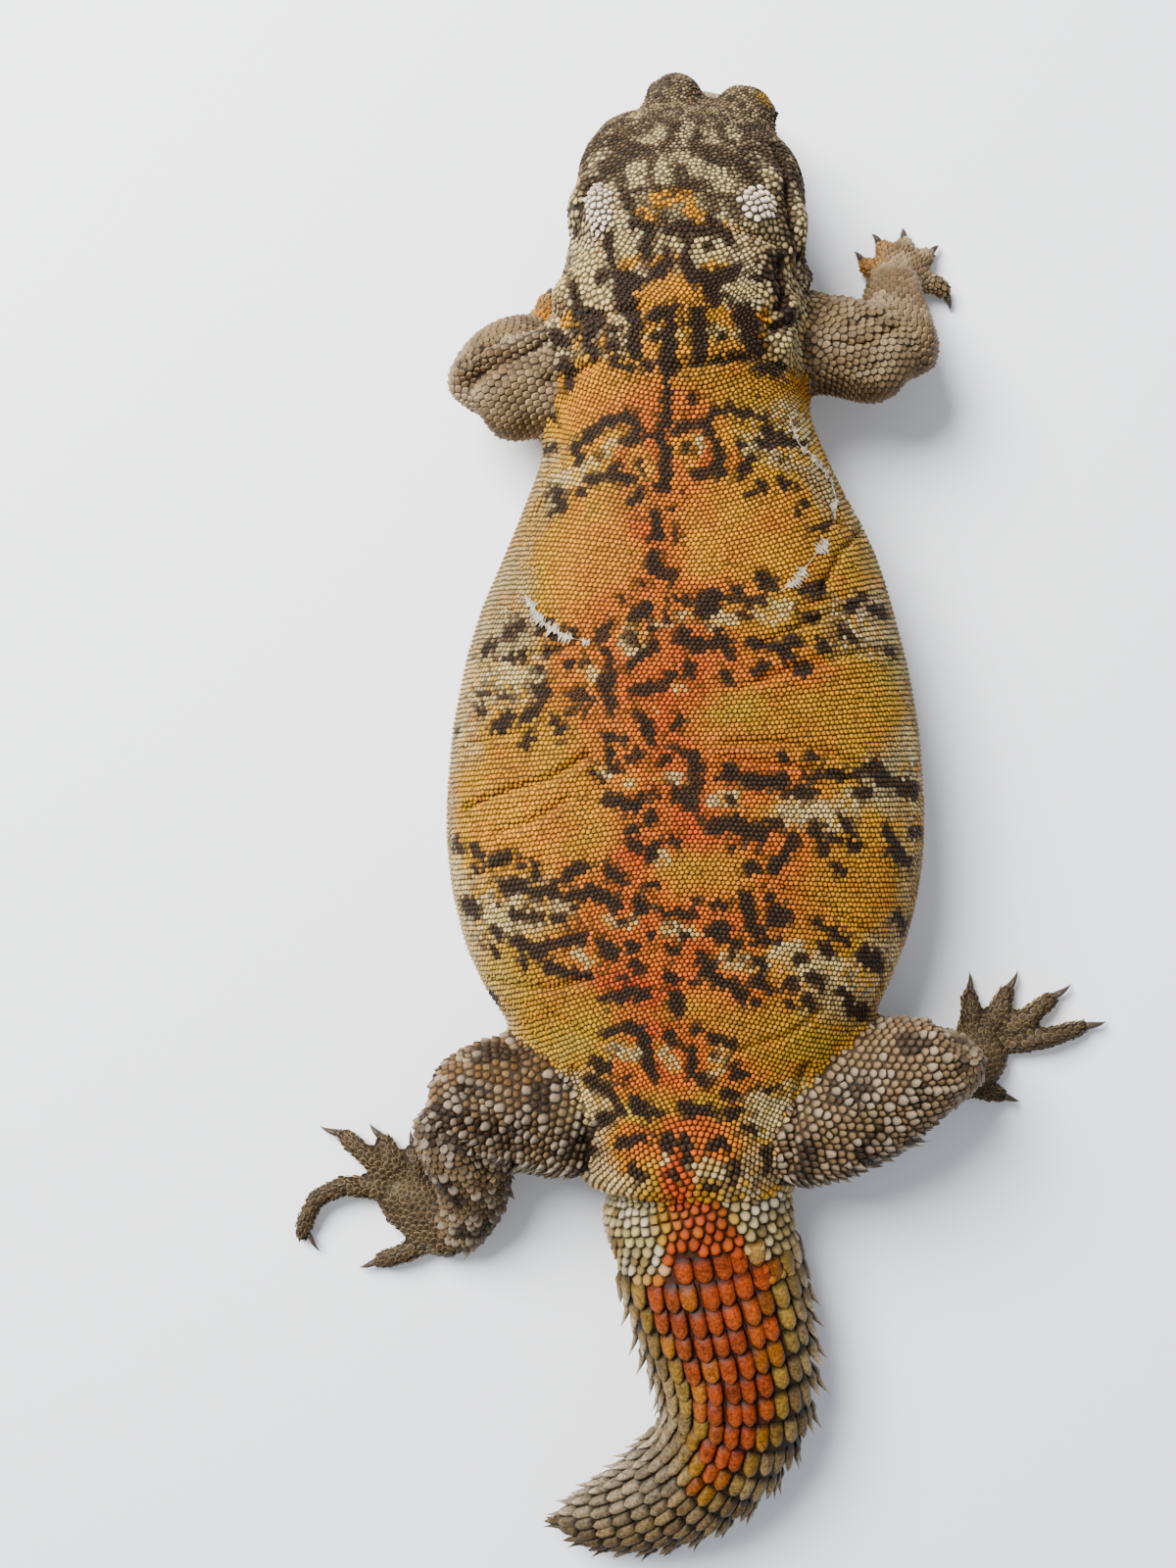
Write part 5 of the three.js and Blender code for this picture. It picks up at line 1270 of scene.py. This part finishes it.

# The back's scales: fine, even, low domes of horn that point backwards, in rings round trunk
# and neck and rooted in the hide. They stand up more at the flanks. They are in two pieces, one
# ahead of the middle of the back and one behind it.
# In a form, each ring has a spread, rise, push to the rear and shade. A top has no spread.
# The shade is painted shade and light: dark at the base, where scales meet, and a painted highlight at the
# top.
GRAIN = {"sides": 6, "rings": [(1.0, -0.15, 0, 0.16), (0.86, 0.19, 0.03, 0.78)],
         "top": (0.32, 0.12, 1.22), "lean": 0.5, "flank": 2.5}
BACK_SPLIT = -8
scale_finish = finish("scales", 0.55, 0.2, 0.5)


def coat(name, chosen, form):
    """One piece of the coat, from the roots that are chosen."""
    picked = np.flatnonzero(chosen)
    chunk = grow(all_points[picked], normals[picked], lies[picked], all_sizes[picked],
                 root_colours[picked], root_spots[picked], form)
    make_piece(name, chunk, scale_finish)


body = np.isin(names, ["trunk", "neck"])
under = normals[:, 2] < -0.25
cone_like = np.zeros(len(all_points), dtype=bool)
for x, y_place, _, reach in CONES:
    cone_like |= on_cone(all_points, x, y_place, reach)
ahead = all_points[:, 1] < BACK_SPLIT
coat("scales_back_front", body & ~under & ~cone_like & ahead, GRAIN)
coat("scales_back_rear", body & ~under & ~ahead, GRAIN)

# The belly's scales: horn like the back's, but wider, flat, close and pale, and smooth enough
# to slide over rock. They run from the throat to the tail's root.
BELLY = {"sides": 6, "rings": [(1.0, -0.12, 0, 0.6), (0.9, 0.12, 0.02, 1.0)],
         "top": (0.18, 0.0, 1.03), "lean": 0.4}
coat("scales_belly", body & under, BELLY)

# The head's scales: small rounded beads of horn, the finest of all round the lids and on the
# snout, and larger towards the nape. The temples' large pale cones are a piece of their own.
BEAD = {"sides": 7, "rings": [(1.0, -0.12, 0, 0.2), (0.88, 0.18, 0.06, 0.78)],
        "top": (0.32, 0.18, 1.25), "lean": 0.8}
CONE = {"sides": 8, "rings": [(1.0, -0.15, 0, 0.25), (0.86, 0.28, 0.08, 0.85), (0.5, 0.5, 0.28, 1.05)],
        "top": (0.62, 0.5, 1.1), "lean": 0.3}
CONE_TINT = np.array((0.62, 0.52, 0.39))
root_colours[cone_like] = CONE_TINT * (0.85 + 0.3 * chance.random((cone_like.sum(), 1)))
coat("scales_head", np.isin(names, ["head", "jaw"]) & ~cone_like, BEAD)
coat("scales_temples", cone_like, CONE)

# The forelegs' scales: larger than the back's, flat and overlapping like roof tiles, of horn
# with a pale rear edge that is a painted highlight. The hands have finer ones of the same form.
SHINGLE = {"sides": 8, "rings": [(1.0, -0.12, 0, 0.25), (0.93, 0.10, 0.03, 1.15), (0.62, 0.19, 0.08, 0.98)],
           "top": (0.21, 0.14, 0.94), "lean": 0.85, "light": 0.3, "gap": 0.97}
forelegs = np.isin(names, ["upper_arm", "forearm", "hand"])
coat("scales_front_legs", forelegs, SHINGLE)

# The thighs' scales: domed cobbles of horn of mixed sizes, rooted in the hide like the others,
# with the largest and palest among small dark ones.
COBBLE = {"sides": 8, "rings": [(1.0, -0.14, 0, 0.14), (0.9, 0.15, 0.03, 0.55), (0.62, 0.30, 0.07, 1.0)],
          "top": (0.36, 0.14, 1.2), "lean": 0.45}
coat("scales_thighs", (names == "thigh") & ~fringe, COBBLE)

# The shanks' scales: overlapping tiles of horn like the forelegs', down to the ankles, where
# the feet's begin.
coat("scales_shanks", (names == "shank") & ~fringe, SHINGLE)

# The hind legs' spines: cones of horn along the rear edges of thighs and shanks, which point
# backwards and stand clear of the scales about them.
THORN = {"sides": 7, "rings": [(1.0, -0.15, 0, 0.25), (0.84, 0.30, 0.16, 0.8), (0.56, 0.58, 0.48, 1.1)],
         "top": (0.85, 1.0, 1.25), "lean": 0.2}
coat("spines_back_legs", fringe, THORN)

# The hind feet's scales: flat dark cells of horn with raised pale edges, finer than the legs'.
# They cover the feet and toes as far as the claws.
CELL_FORM = {"sides": 7, "rings": [(1.0, 0.06, 0, 3.0), (0.7, 0.15, 0.05, 0.75)],
             "top": (0.19, 0.05, 0.6), "lean": 0.8, "gap": 0.98}
coat("scales_feet", names == "foot", CELL_FORM)

# The tail: whorls of thick, keeled shields of horn, each ending in a spine that stands off
# backwards. They are longest and sharpest along the sides, and low and nearly smooth
# underneath. Each whorl bows round the tail, and its shields are rooted in the hide.
SPIRE_START = 58.6
SPIRE_STOP = 2.2  # how far before the tip the last whorl may stand
WHORL_SPACING = (3.45, 2.5)
WHORL_BOW = 2.2
TAIL_STEPS, RIM_STEPS = 400, 121
RAY_REACH = 20
SHIELD_WIDTH = (2.45, 1.4)
SHIELD_OVERLAP = 1.12
tail_fine = along(TAIL, TAIL_STEPS)
tail_arc = lengths_along(tail_fine[:, :3])
first = np.interp(SPIRE_START, tail_fine[:, 1], tail_arc)
whorls = [first]
while whorls[-1] < tail_arc[-1] - SPIRE_STOP:
    done = (whorls[-1] - first) / (tail_arc[-1] - first)
    whorls.append(whorls[-1] + WHORL_SPACING[0] + (WHORL_SPACING[1] - WHORL_SPACING[0]) * done)
centres = read_along(whorls, tail_arc, tail_fine)
onward, sideways, upward = frames_along(centres)
angles = np.linspace(-np.pi, np.pi, RIM_STEPS)
shield_points, shield_lies, shield_widths, shield_lengths = [], [], [], []
shield_count = None
for row, centre in enumerate(centres):
    rays = np.sin(angles)[:, None] * sideways[row] + np.cos(angles)[:, None] * upward[row]
    bow = WHORL_BOW * (1 - 0.5 * row / len(centres)) * (np.cos(angles) - 0.55)
    starts = centre + bow[:, None] * onward[row]
    hits = [hide_tree.ray_cast(start, ray, RAY_REACH) for start, ray in zip(starts.tolist(), rays.tolist())]
    rim = np.array([hit[0][:] if hit[0] is not None else start for hit, start in zip(hits, starts)])
    length = lengths_along(rim)
    done = row / (len(centres) - 1)
    width = SHIELD_WIDTH[0] + (SHIELD_WIDTH[1] - SHIELD_WIDTH[0]) * done
    count = max(6, 2 * round(length[-1] / width / 2))
    if row and 0 <= shield_count - count <= 3:
        count = shield_count
    shield_count = count
    middle = length[RIM_STEPS // 2]
    marks = np.arange(count) - (count - 1) / 2 + 0.2 * chance.random(count) - 0.1
    marks = np.sort((middle + marks * length[-1] / count) % length[-1])
    pitch = np.diff(np.concatenate([marks, marks[:1] + length[-1]]))
    spots = read_along(marks, length, rim)
    run = whorls[row + 1] - whorls[row] if row + 1 < len(whorls) else WHORL_SPACING[1]
    kept = (row > 0) | (np.abs(spots[:, 0] + 3) <= 6)  # the first whorl is whole only on top
    shield_points.append(spots[kept])
    shield_lies.append(np.tile(onward[row], (count, 1))[kept])
    shield_widths.append(((pitch + np.roll(pitch, 1)) / 2)[kept])
    shield_lengths.append(np.full(count, run * SHIELD_OVERLAP)[kept])
shield_points, shield_normals, shield_owner = settle(np.vstack(shield_points))
shield_lies = np.vstack(shield_lies)
shield_lies = unit(shield_lies - (shield_lies * shield_normals).sum(axis=1)[:, None] * shield_normals)
shield_widths, shield_lengths = np.concatenate(shield_widths), np.concatenate(shield_lengths)
total = len(shield_points)
shield_lengths = shield_lengths * (0.92 + 0.16 * chance.random(total))
flat = 1 - ramp(shield_normals[:, 2], -0.6, -0.1)
side_on = 1 - np.abs(shield_normals[:, 2])
taper = shield_widths / SHIELD_WIDTH[0]
down_tail = shield_points[:, 1]
shield_heights = (0.9 - 0.55 * flat) * taper**0.5 * (0.85 + 0.3 * chance.random(total))
shield_spines = (0.14 + 1.9 * side_on**1.6) * (1 - 0.85 * flat) * taper**0.3
shield_spines = shield_spines * (0.8 + 0.4 * chance.random(total))
shield_lengths = shield_lengths * (1 + 0.28 * side_on**2 * (1 - flat))
shield_heights = shield_heights * (1 + 0.85 * side_on**2) * (0.7 + 0.3 * ramp(down_tail, 58, 66))
shield_spines = shield_spines * (0.25 + 0.75 * ramp(down_tail, 60, 69))

# A shield's section runs from one edge over the keel to the other and back beneath. Its
# stations go from the root to the point, and SPINE_KICK is how much each is lifted there.
ACROSS = np.array([-1, -0.76, -0.38, 0, 0.38, 0.76, 1, 0.55, 0, -0.55])
CROWN = np.array([0.3, 0.78, 0.95, 1.08, 0.95, 0.78, 0.3, -0.3, -0.3, -0.3])
STATIONS = np.array([0, 0.1, 0.2, 0.3, 0.5, 0.7, 0.82, 0.92, 1])
SPINE_KICK = np.clip((STATIONS - 0.35) / 0.65, 0, 1) ** 1.3
SHARP_SPINE = 1.3


def shields(points, normals, lies, widths, lengths, heights, spines):
    """The corners of keeled shields with a spine at the rear, as tubes that taper to a point."""
    across = np.cross(normals, lies)
    back = STATIONS
    half = np.interp(back, [0, 0.2, 0.5, 0.72, 0.84, 0.93, 1], [0.96, 1.02, 1.02, 0.97, 0.76, 0.38, 0.03])
    rise = np.interp(back, [0, 0.12, 0.3, 0.7, 1], [0.0, 0.35, 0.85, 1.0, 0.95])
    top = points[:, None, None] + (back * lengths[:, None])[:, :, None, None] * lies[:, None, None]
    sharp = np.clip(spines / SHARP_SPINE, 0, 1)[:, None]
    half = (1 - sharp) * half + sharp * np.interp(back, [0, 0.3, 0.66, 1], [1.0, 1.0, 0.76, 0.03])
    spread = half[..., None] * ACROSS * widths[:, None, None] * 0.5
    thin = sharp * np.interp(back, [0, 0.25, 0.6, 1], [1, 0.95, 0.5, 0.02])
    blunt = (1 - sharp) * np.interp(back, [0, 0.55, 0.85, 1], [1, 1, 0.6, 0.04])
    thick = rise * (thin + blunt) * heights[:, None]
    base = SPINE_KICK * (0.85 * spines + 0.7 * heights)[:, None] - 0.15
    upper = 0.15 * (1 - SPINE_KICK[:, None]) + thick[..., None] * CROWN
    lift = base[..., None] + np.where(CROWN < 0, 0, upper)
    return top + spread[..., None] * across[:, None, None] + lift[..., None] * normals[:, None, None]


def shield_tints(colours, tips, blots):
    """The colours of the shields' corners: painted shade in the grooves, on the sides and underneath, with
    a blot and a paler tip.
    """
    shade = np.interp(STATIONS, [0, 0.06, 0.16, 0.28, 0.75, 1], [0.05, 0.1, 0.4, 0.95, 1.05, 1.0])
    # edge: painted shade on the shields' sides and undersides, which fades towards the spine.
    edge = np.interp(np.abs(ACROSS), [0, 0.4, 0.8, 1], [1.06, 1.0, 0.72, 0.4])
    edge = np.where(CROWN < 0, 0.3, edge)[None]
    edge = edge + (1 - edge) * SPINE_KICK[:, None] * 0.6
    tint = colours[:, None, None] * (shade[:, None] * edge)[None, :, :, None]
    blot = np.exp(-(((STATIONS[:, None] - 0.45) / 0.2) ** 2) - (ACROSS[None] / 0.55) ** 2) * (CROWN > 0)
    tint = tint * (1 - blot[None] * blots[:, None, None])[..., None]
    pale = (SPINE_KICK[:, None] * (0.35 + 0.65 * (edge > 0.5)))[None, :, :, None] * 0.8
    return tint + (tips[:, None, None] * edge[None, :, :, None] - tint) * pale


TIP_TINT = (0.52, 0.42, 0.29)
LAST_TIPS = (0.035, 0.026, 0.018)
shield_middles = shield_points + shield_lies * shield_lengths[:, None] * 0.5
shield_colours = paint(shield_middles, shield_owner, shield_normals[:, 2])
shield_colours = shield_colours * (0.7 + 0.6 * chance.random((total, 1)))
tips = shield_colours * 0.85 + (0.04, 0.028, 0.01)
tips = blend(tips, TIP_TINT, 1 - ramp(shield_normals[:, 2], 0.4, 0.7))
dark_tips = ramp(down_tail, 93, 97) * ramp(chance.random(total), 0.1, 0.5)
tips = blend(tips, LAST_TIPS, dark_tips * (down_tail > 97) * 0.9)
blots = 0.75 * ramp(chance.random(total), 0.35, 1.0)
corners = shields(shield_points, shield_normals, shield_lies, shield_widths, shield_lengths,
                  shield_heights, shield_spines)
tints = shield_tints(shield_colours, tips, blots)
rings, sides = len(STATIONS), len(ACROSS)
turn = 2 * np.pi * np.arange(sides) / sides
disc = np.stack([np.cos(turn), np.sin(turn)], axis=1)[None] * (1 - 0.97 * STATIONS)[:, None, None] * PATCH
spots = map_places(shield_points)[:, None, None] + disc[None]
last = (rings - 1) * sides
cap = [(last, last + side + 1, last + side) for side in range(1, sides - 1)]
faces = np.vstack([tube_faces(rings, sides)[:, [0, 2, 1]], cap])
faces = faces[None] + (np.arange(total) * rings * sides)[:, None, None]
shell = [values.reshape(-1, values.shape[-1]) for values in (corners, faces, tints, spots)]
make_piece("tail_shields", shell, finish("shields", 0.5, 0.4, 0.9, 0.35))

# The tail's root: cobbles of horn like the thighs', in rows as far as the first whorl, and in
# the tail's colours.
coat("scales_tail_base", names == "tail", COBBLE)

# Old skin that is coming off: torn, papery strips that still hold along their middle line
# across the shoulders and flanks, and curl up at both edges. Each is a thin flat tube.
SHED = [(806, 425, 815, 451, 832, 470, 846, 489, 852, 510, 851, 530),
        (847, 548, 834, 564, 822, 580, 809, 595, 797, 603),
        (534, 607, 545, 622, 559, 639, 580, 650, 602, 655)]
SHED_STEPS = 70
SHED_TINT = np.array((0.33, 0.285, 0.21))
ends = np.array(((0, 2, 1), (0, 3, 2)))
strips = []
for line in SHED:
    middle, lift, _ = settle(along(seen(line), SHED_STEPS))
    across = unit(np.cross(lift, np.gradient(middle, axis=0)))
    fade = np.sin(np.linspace(0.05, np.pi - 0.05, SHED_STEPS))[:, None] ** 0.4
    fade = fade * ramp(noise(middle, 1.3, 51), 0.3, 0.5)[:, None]
    wide = 0.04 + fade * (0.1 + 1.3 * chance.random((SHED_STEPS, 2)) ** 2)
    curl = 0.16 + fade * 0.4 * chance.random((SHED_STEPS, 2))
    ring = [middle + across * wide[:, :1] + lift * curl[:, :1], middle + 0.26 * lift,
            middle - across * wide[:, 1:] + lift * curl[:, 1:], middle + 0.2 * lift]
    walls = [tube_faces(SHED_STEPS, len(ring)), ends, ends + len(ring) * (SHED_STEPS - 1)]
    strips.append((np.stack(ring, axis=1).reshape(-1, 3), np.vstack(walls)))
shed_points, shed_faces = joined(strips)
shed = build_mesh("shed_skin", shed_points, shed_faces, smooth=False)
lay_pigment(shed, SHED_TINT * (0.7 + 0.6 * chance.random((len(shed_points), 1))))
shed.data.materials.append(finish("shed skin", 0.6, 0.3, 0.3))
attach(shed, "root")

# The eyes: dark wet domes with a golden-brown iris round a black pupil, each one a ball that
# looks out sideways from under its brow, held by the lids of the hide.
PUPIL = (0.010, 0.008, 0.007)
IRIS = (0.11, 0.052, 0.014)
IRIS_EDGE = (0.22, 0.125, 0.03)
EYE_RINGS, EYE_SIDES = 60, 64
wet, start, inputs = new_material("wet eye", 0.06)
pigment = start.node("ShaderNodeVertexColor", {"layer_name": "pigment"})
place = start.node("ShaderNodeTexCoord", output=3)
streaks = start.node("ShaderNodeTexNoise", Scale=1 / (0.35 * MM), Vector=place)
start.node("ShaderNodeMix", MULTIPLY, output=2, _0=0.7, _6=pigment, _7=streaks).into(inputs["Base Color"])
tilt = np.pi * (np.arange(1, EYE_RINGS) / EYE_RINGS) ** 1.5
turn = 2 * np.pi * np.arange(EYE_SIDES) / EYE_SIDES
angle = np.concatenate([np.repeat(tilt, EYE_SIDES), [0, np.pi]])
spokes = np.concatenate([np.tile(np.sin(turn * 11) * np.sin(turn * 17), EYE_RINGS - 1), [0, 0]])
iris = ramp(angle, 0.24, 0.27) * (1 - ramp(angle, 0.55, 0.66)) * (0.7 + 0.25 * spokes)
eye_colours = blend(np.tile(PUPIL, (len(angle), 1)), IRIS, iris)
rim = ramp(angle, 0.235, 0.25) * (1 - ramp(angle, 0.27, 0.32))
eye_colours = blend(eye_colours, IRIS_EDGE, rim)
for side_name, turn_out in (("left", 1), ("right", -1)):
    node = "eye_" + side_name
    low, high = np.array(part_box(node)) / MM
    middle, radius = (low + high) / 2, (high - low).min() / 2
    gaze = unit(turn_out * HEAD_AXES[1])
    aside = unit(np.cross(gaze, (0, 0, 1)))
    upright = np.cross(aside, gaze)
    outward = np.cos(turn)[None, :, None] * aside + np.sin(turn)[None, :, None] * upright
    shell = np.cos(tilt)[:, None, None] * gaze + np.sin(tilt)[:, None, None] * outward
    points, faces = closed_tube(shell, (gaze, -gaze))
    eye = build_mesh("eyeball_" + side_name, middle + radius * points, faces[:, ::-1])
    lay_pigment(eye, eye_colours)
    eye.data.materials.append(wet)
    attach(eye, "root")
    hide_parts(node)

# The claws: one curved cone of horn at the end of each digit, dark brown with paler streaks.
# Each is rooted a little way back inside its toe or finger.
HORN_DARK = (0.014, 0.009, 0.006, 1)
HORN_PALE = (0.07, 0.045, 0.026, 1)
CLAW_STEPS, CLAW_SIDES = 12, 12
CLAW_LENGTH = 0.88
CLAW_ROOT = 0.25
CLAW_SECTION = (0.72, 1.05)
horn, start, inputs = new_material("horn", 0.4)
grain = start.node("ShaderNodeTexNoise", Scale=1 / (0.8 * MM), Detail=4.0)
streak = start.node("ShaderNodeMix", {"data_type": "RGBA"}, output=2, _0=grain, _6=HORN_DARK, _7=HORN_PALE)
streak.into(inputs["Base Color"])
inputs["Specular IOR Level"].default_value = 0.25
claw_nodes = sorted(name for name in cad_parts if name.startswith("claw_"))
tubes = []
for name in claw_nodes:
    _, corner, side_name, number = name.split("_")
    _, digits = PALMS[("hand_" if corner == "front" else "foot_") + corner + "_" + side_name]
    solid, _ = solid_arrays(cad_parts[name])
    heading = unit(solid.mean(axis=0) - np.array(digits[int(number) - 1][-2]))
    reach = solid @ heading
    at_root = reach < reach.min() + CLAW_ROOT * np.ptp(reach)
    root = solid[at_root].mean(axis=0)
    girth = 1.25 * max(0.4, np.linalg.norm((solid - root)[at_root], axis=1).mean())
    run = CLAW_LENGTH * (solid[reach.argmax()] - root)
    aside = unit(np.cross(run, (0, 0, 1)))
    t = np.linspace(-CLAW_ROOT, 1, CLAW_STEPS)
    beyond = np.clip(t, 0, 1)
    lift = 0.34 * np.linalg.norm(run) * (1 - (2 * beyond - 0.75) ** 2 / 1.5625) * beyond**0.5
    lift = lift - lift[-1] * beyond - 0.12 * t
    middle = root + t[:, None] * run + lift[:, None] * np.array((0, 0, 1))
    ahead = unit(np.gradient(middle, axis=0))
    over = np.cross(aside, ahead)
    width = girth * 0.95 * np.clip(1 - beyond**1.25, 0.04, 1)
    turn = 2 * np.pi * np.arange(CLAW_SIDES) / CLAW_SIDES
    section = CLAW_SECTION[0] * np.cos(turn)[None, :, None] * aside
    section = section + CLAW_SECTION[1] * np.sin(turn)[None, :, None] * over[:, None]
    shell = middle[:, None] + width[:, None, None] * section
    tubes.append(closed_tube(shell, (middle[0], middle[-1] + 0.1 * ahead[-1])))
claws = build_mesh("claws", *joined(tubes))
claws.data.materials.append(horn)
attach(claws, "root")
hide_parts(*claw_nodes)

# The floor is a plain pale sheet of smooth board, which the belly, the hands and the feet
# rest on.
FLOOR_SIZE = 3
FLOOR_COLOUR = (0.93, 0.94, 0.965, 1)
bpy.ops.mesh.primitive_plane_add(size=FLOOR_SIZE)
floor = bpy.context.object
floor.name = "floor"
pale_board, _, inputs = new_material("pale floor", 0.8)
inputs["Base Color"].default_value = FLOOR_COLOUR
floor.data.materials.append(pale_board)

# The camera looks straight down from where the picture was taken. The light is soft and even,
# as under an overcast sky: one large round lamp at the animal's front left, and a pale room.
SENSOR, LENS = 24, 26.4
SKY_PLACE = (0.3, -0.3, 0.45)
SKY_SIZE, SKY_POWER = 0.4, 14
ROOM_COLOUR, ROOM_LIGHT = (0.85, 0.9, 1, 1), 0.62
camera_data = bpy.data.cameras.new("camera")
camera_data.sensor_fit = "VERTICAL"
camera_data.sensor_height = SENSOR
camera_data.lens = LENS
camera = bpy.data.objects.new("camera", camera_data)
camera.location = VIEW * MM
camera.rotation_euler = (0, 0, math.pi)
bpy.context.scene.collection.objects.link(camera)
bpy.context.scene.camera = camera

sky = bpy.data.lights.new("sky", "AREA")
sky.shape = "DISK"
sky.size = SKY_SIZE
sky.energy = SKY_POWER
sky_lamp = bpy.data.objects.new("sky", sky)
sky_lamp.location = SKY_PLACE
sky_lamp.rotation_euler = Vector(SKY_PLACE).to_track_quat("Z", "Y").to_euler()
bpy.context.scene.collection.objects.link(sky_lamp)

world = bpy.data.worlds.new("room")
bpy.context.scene.world = world
world.use_nodes = True
background = world.node_tree.nodes["Background"].inputs
background["Color"].default_value = ROOM_COLOUR
background["Strength"].default_value = ROOM_LIGHT
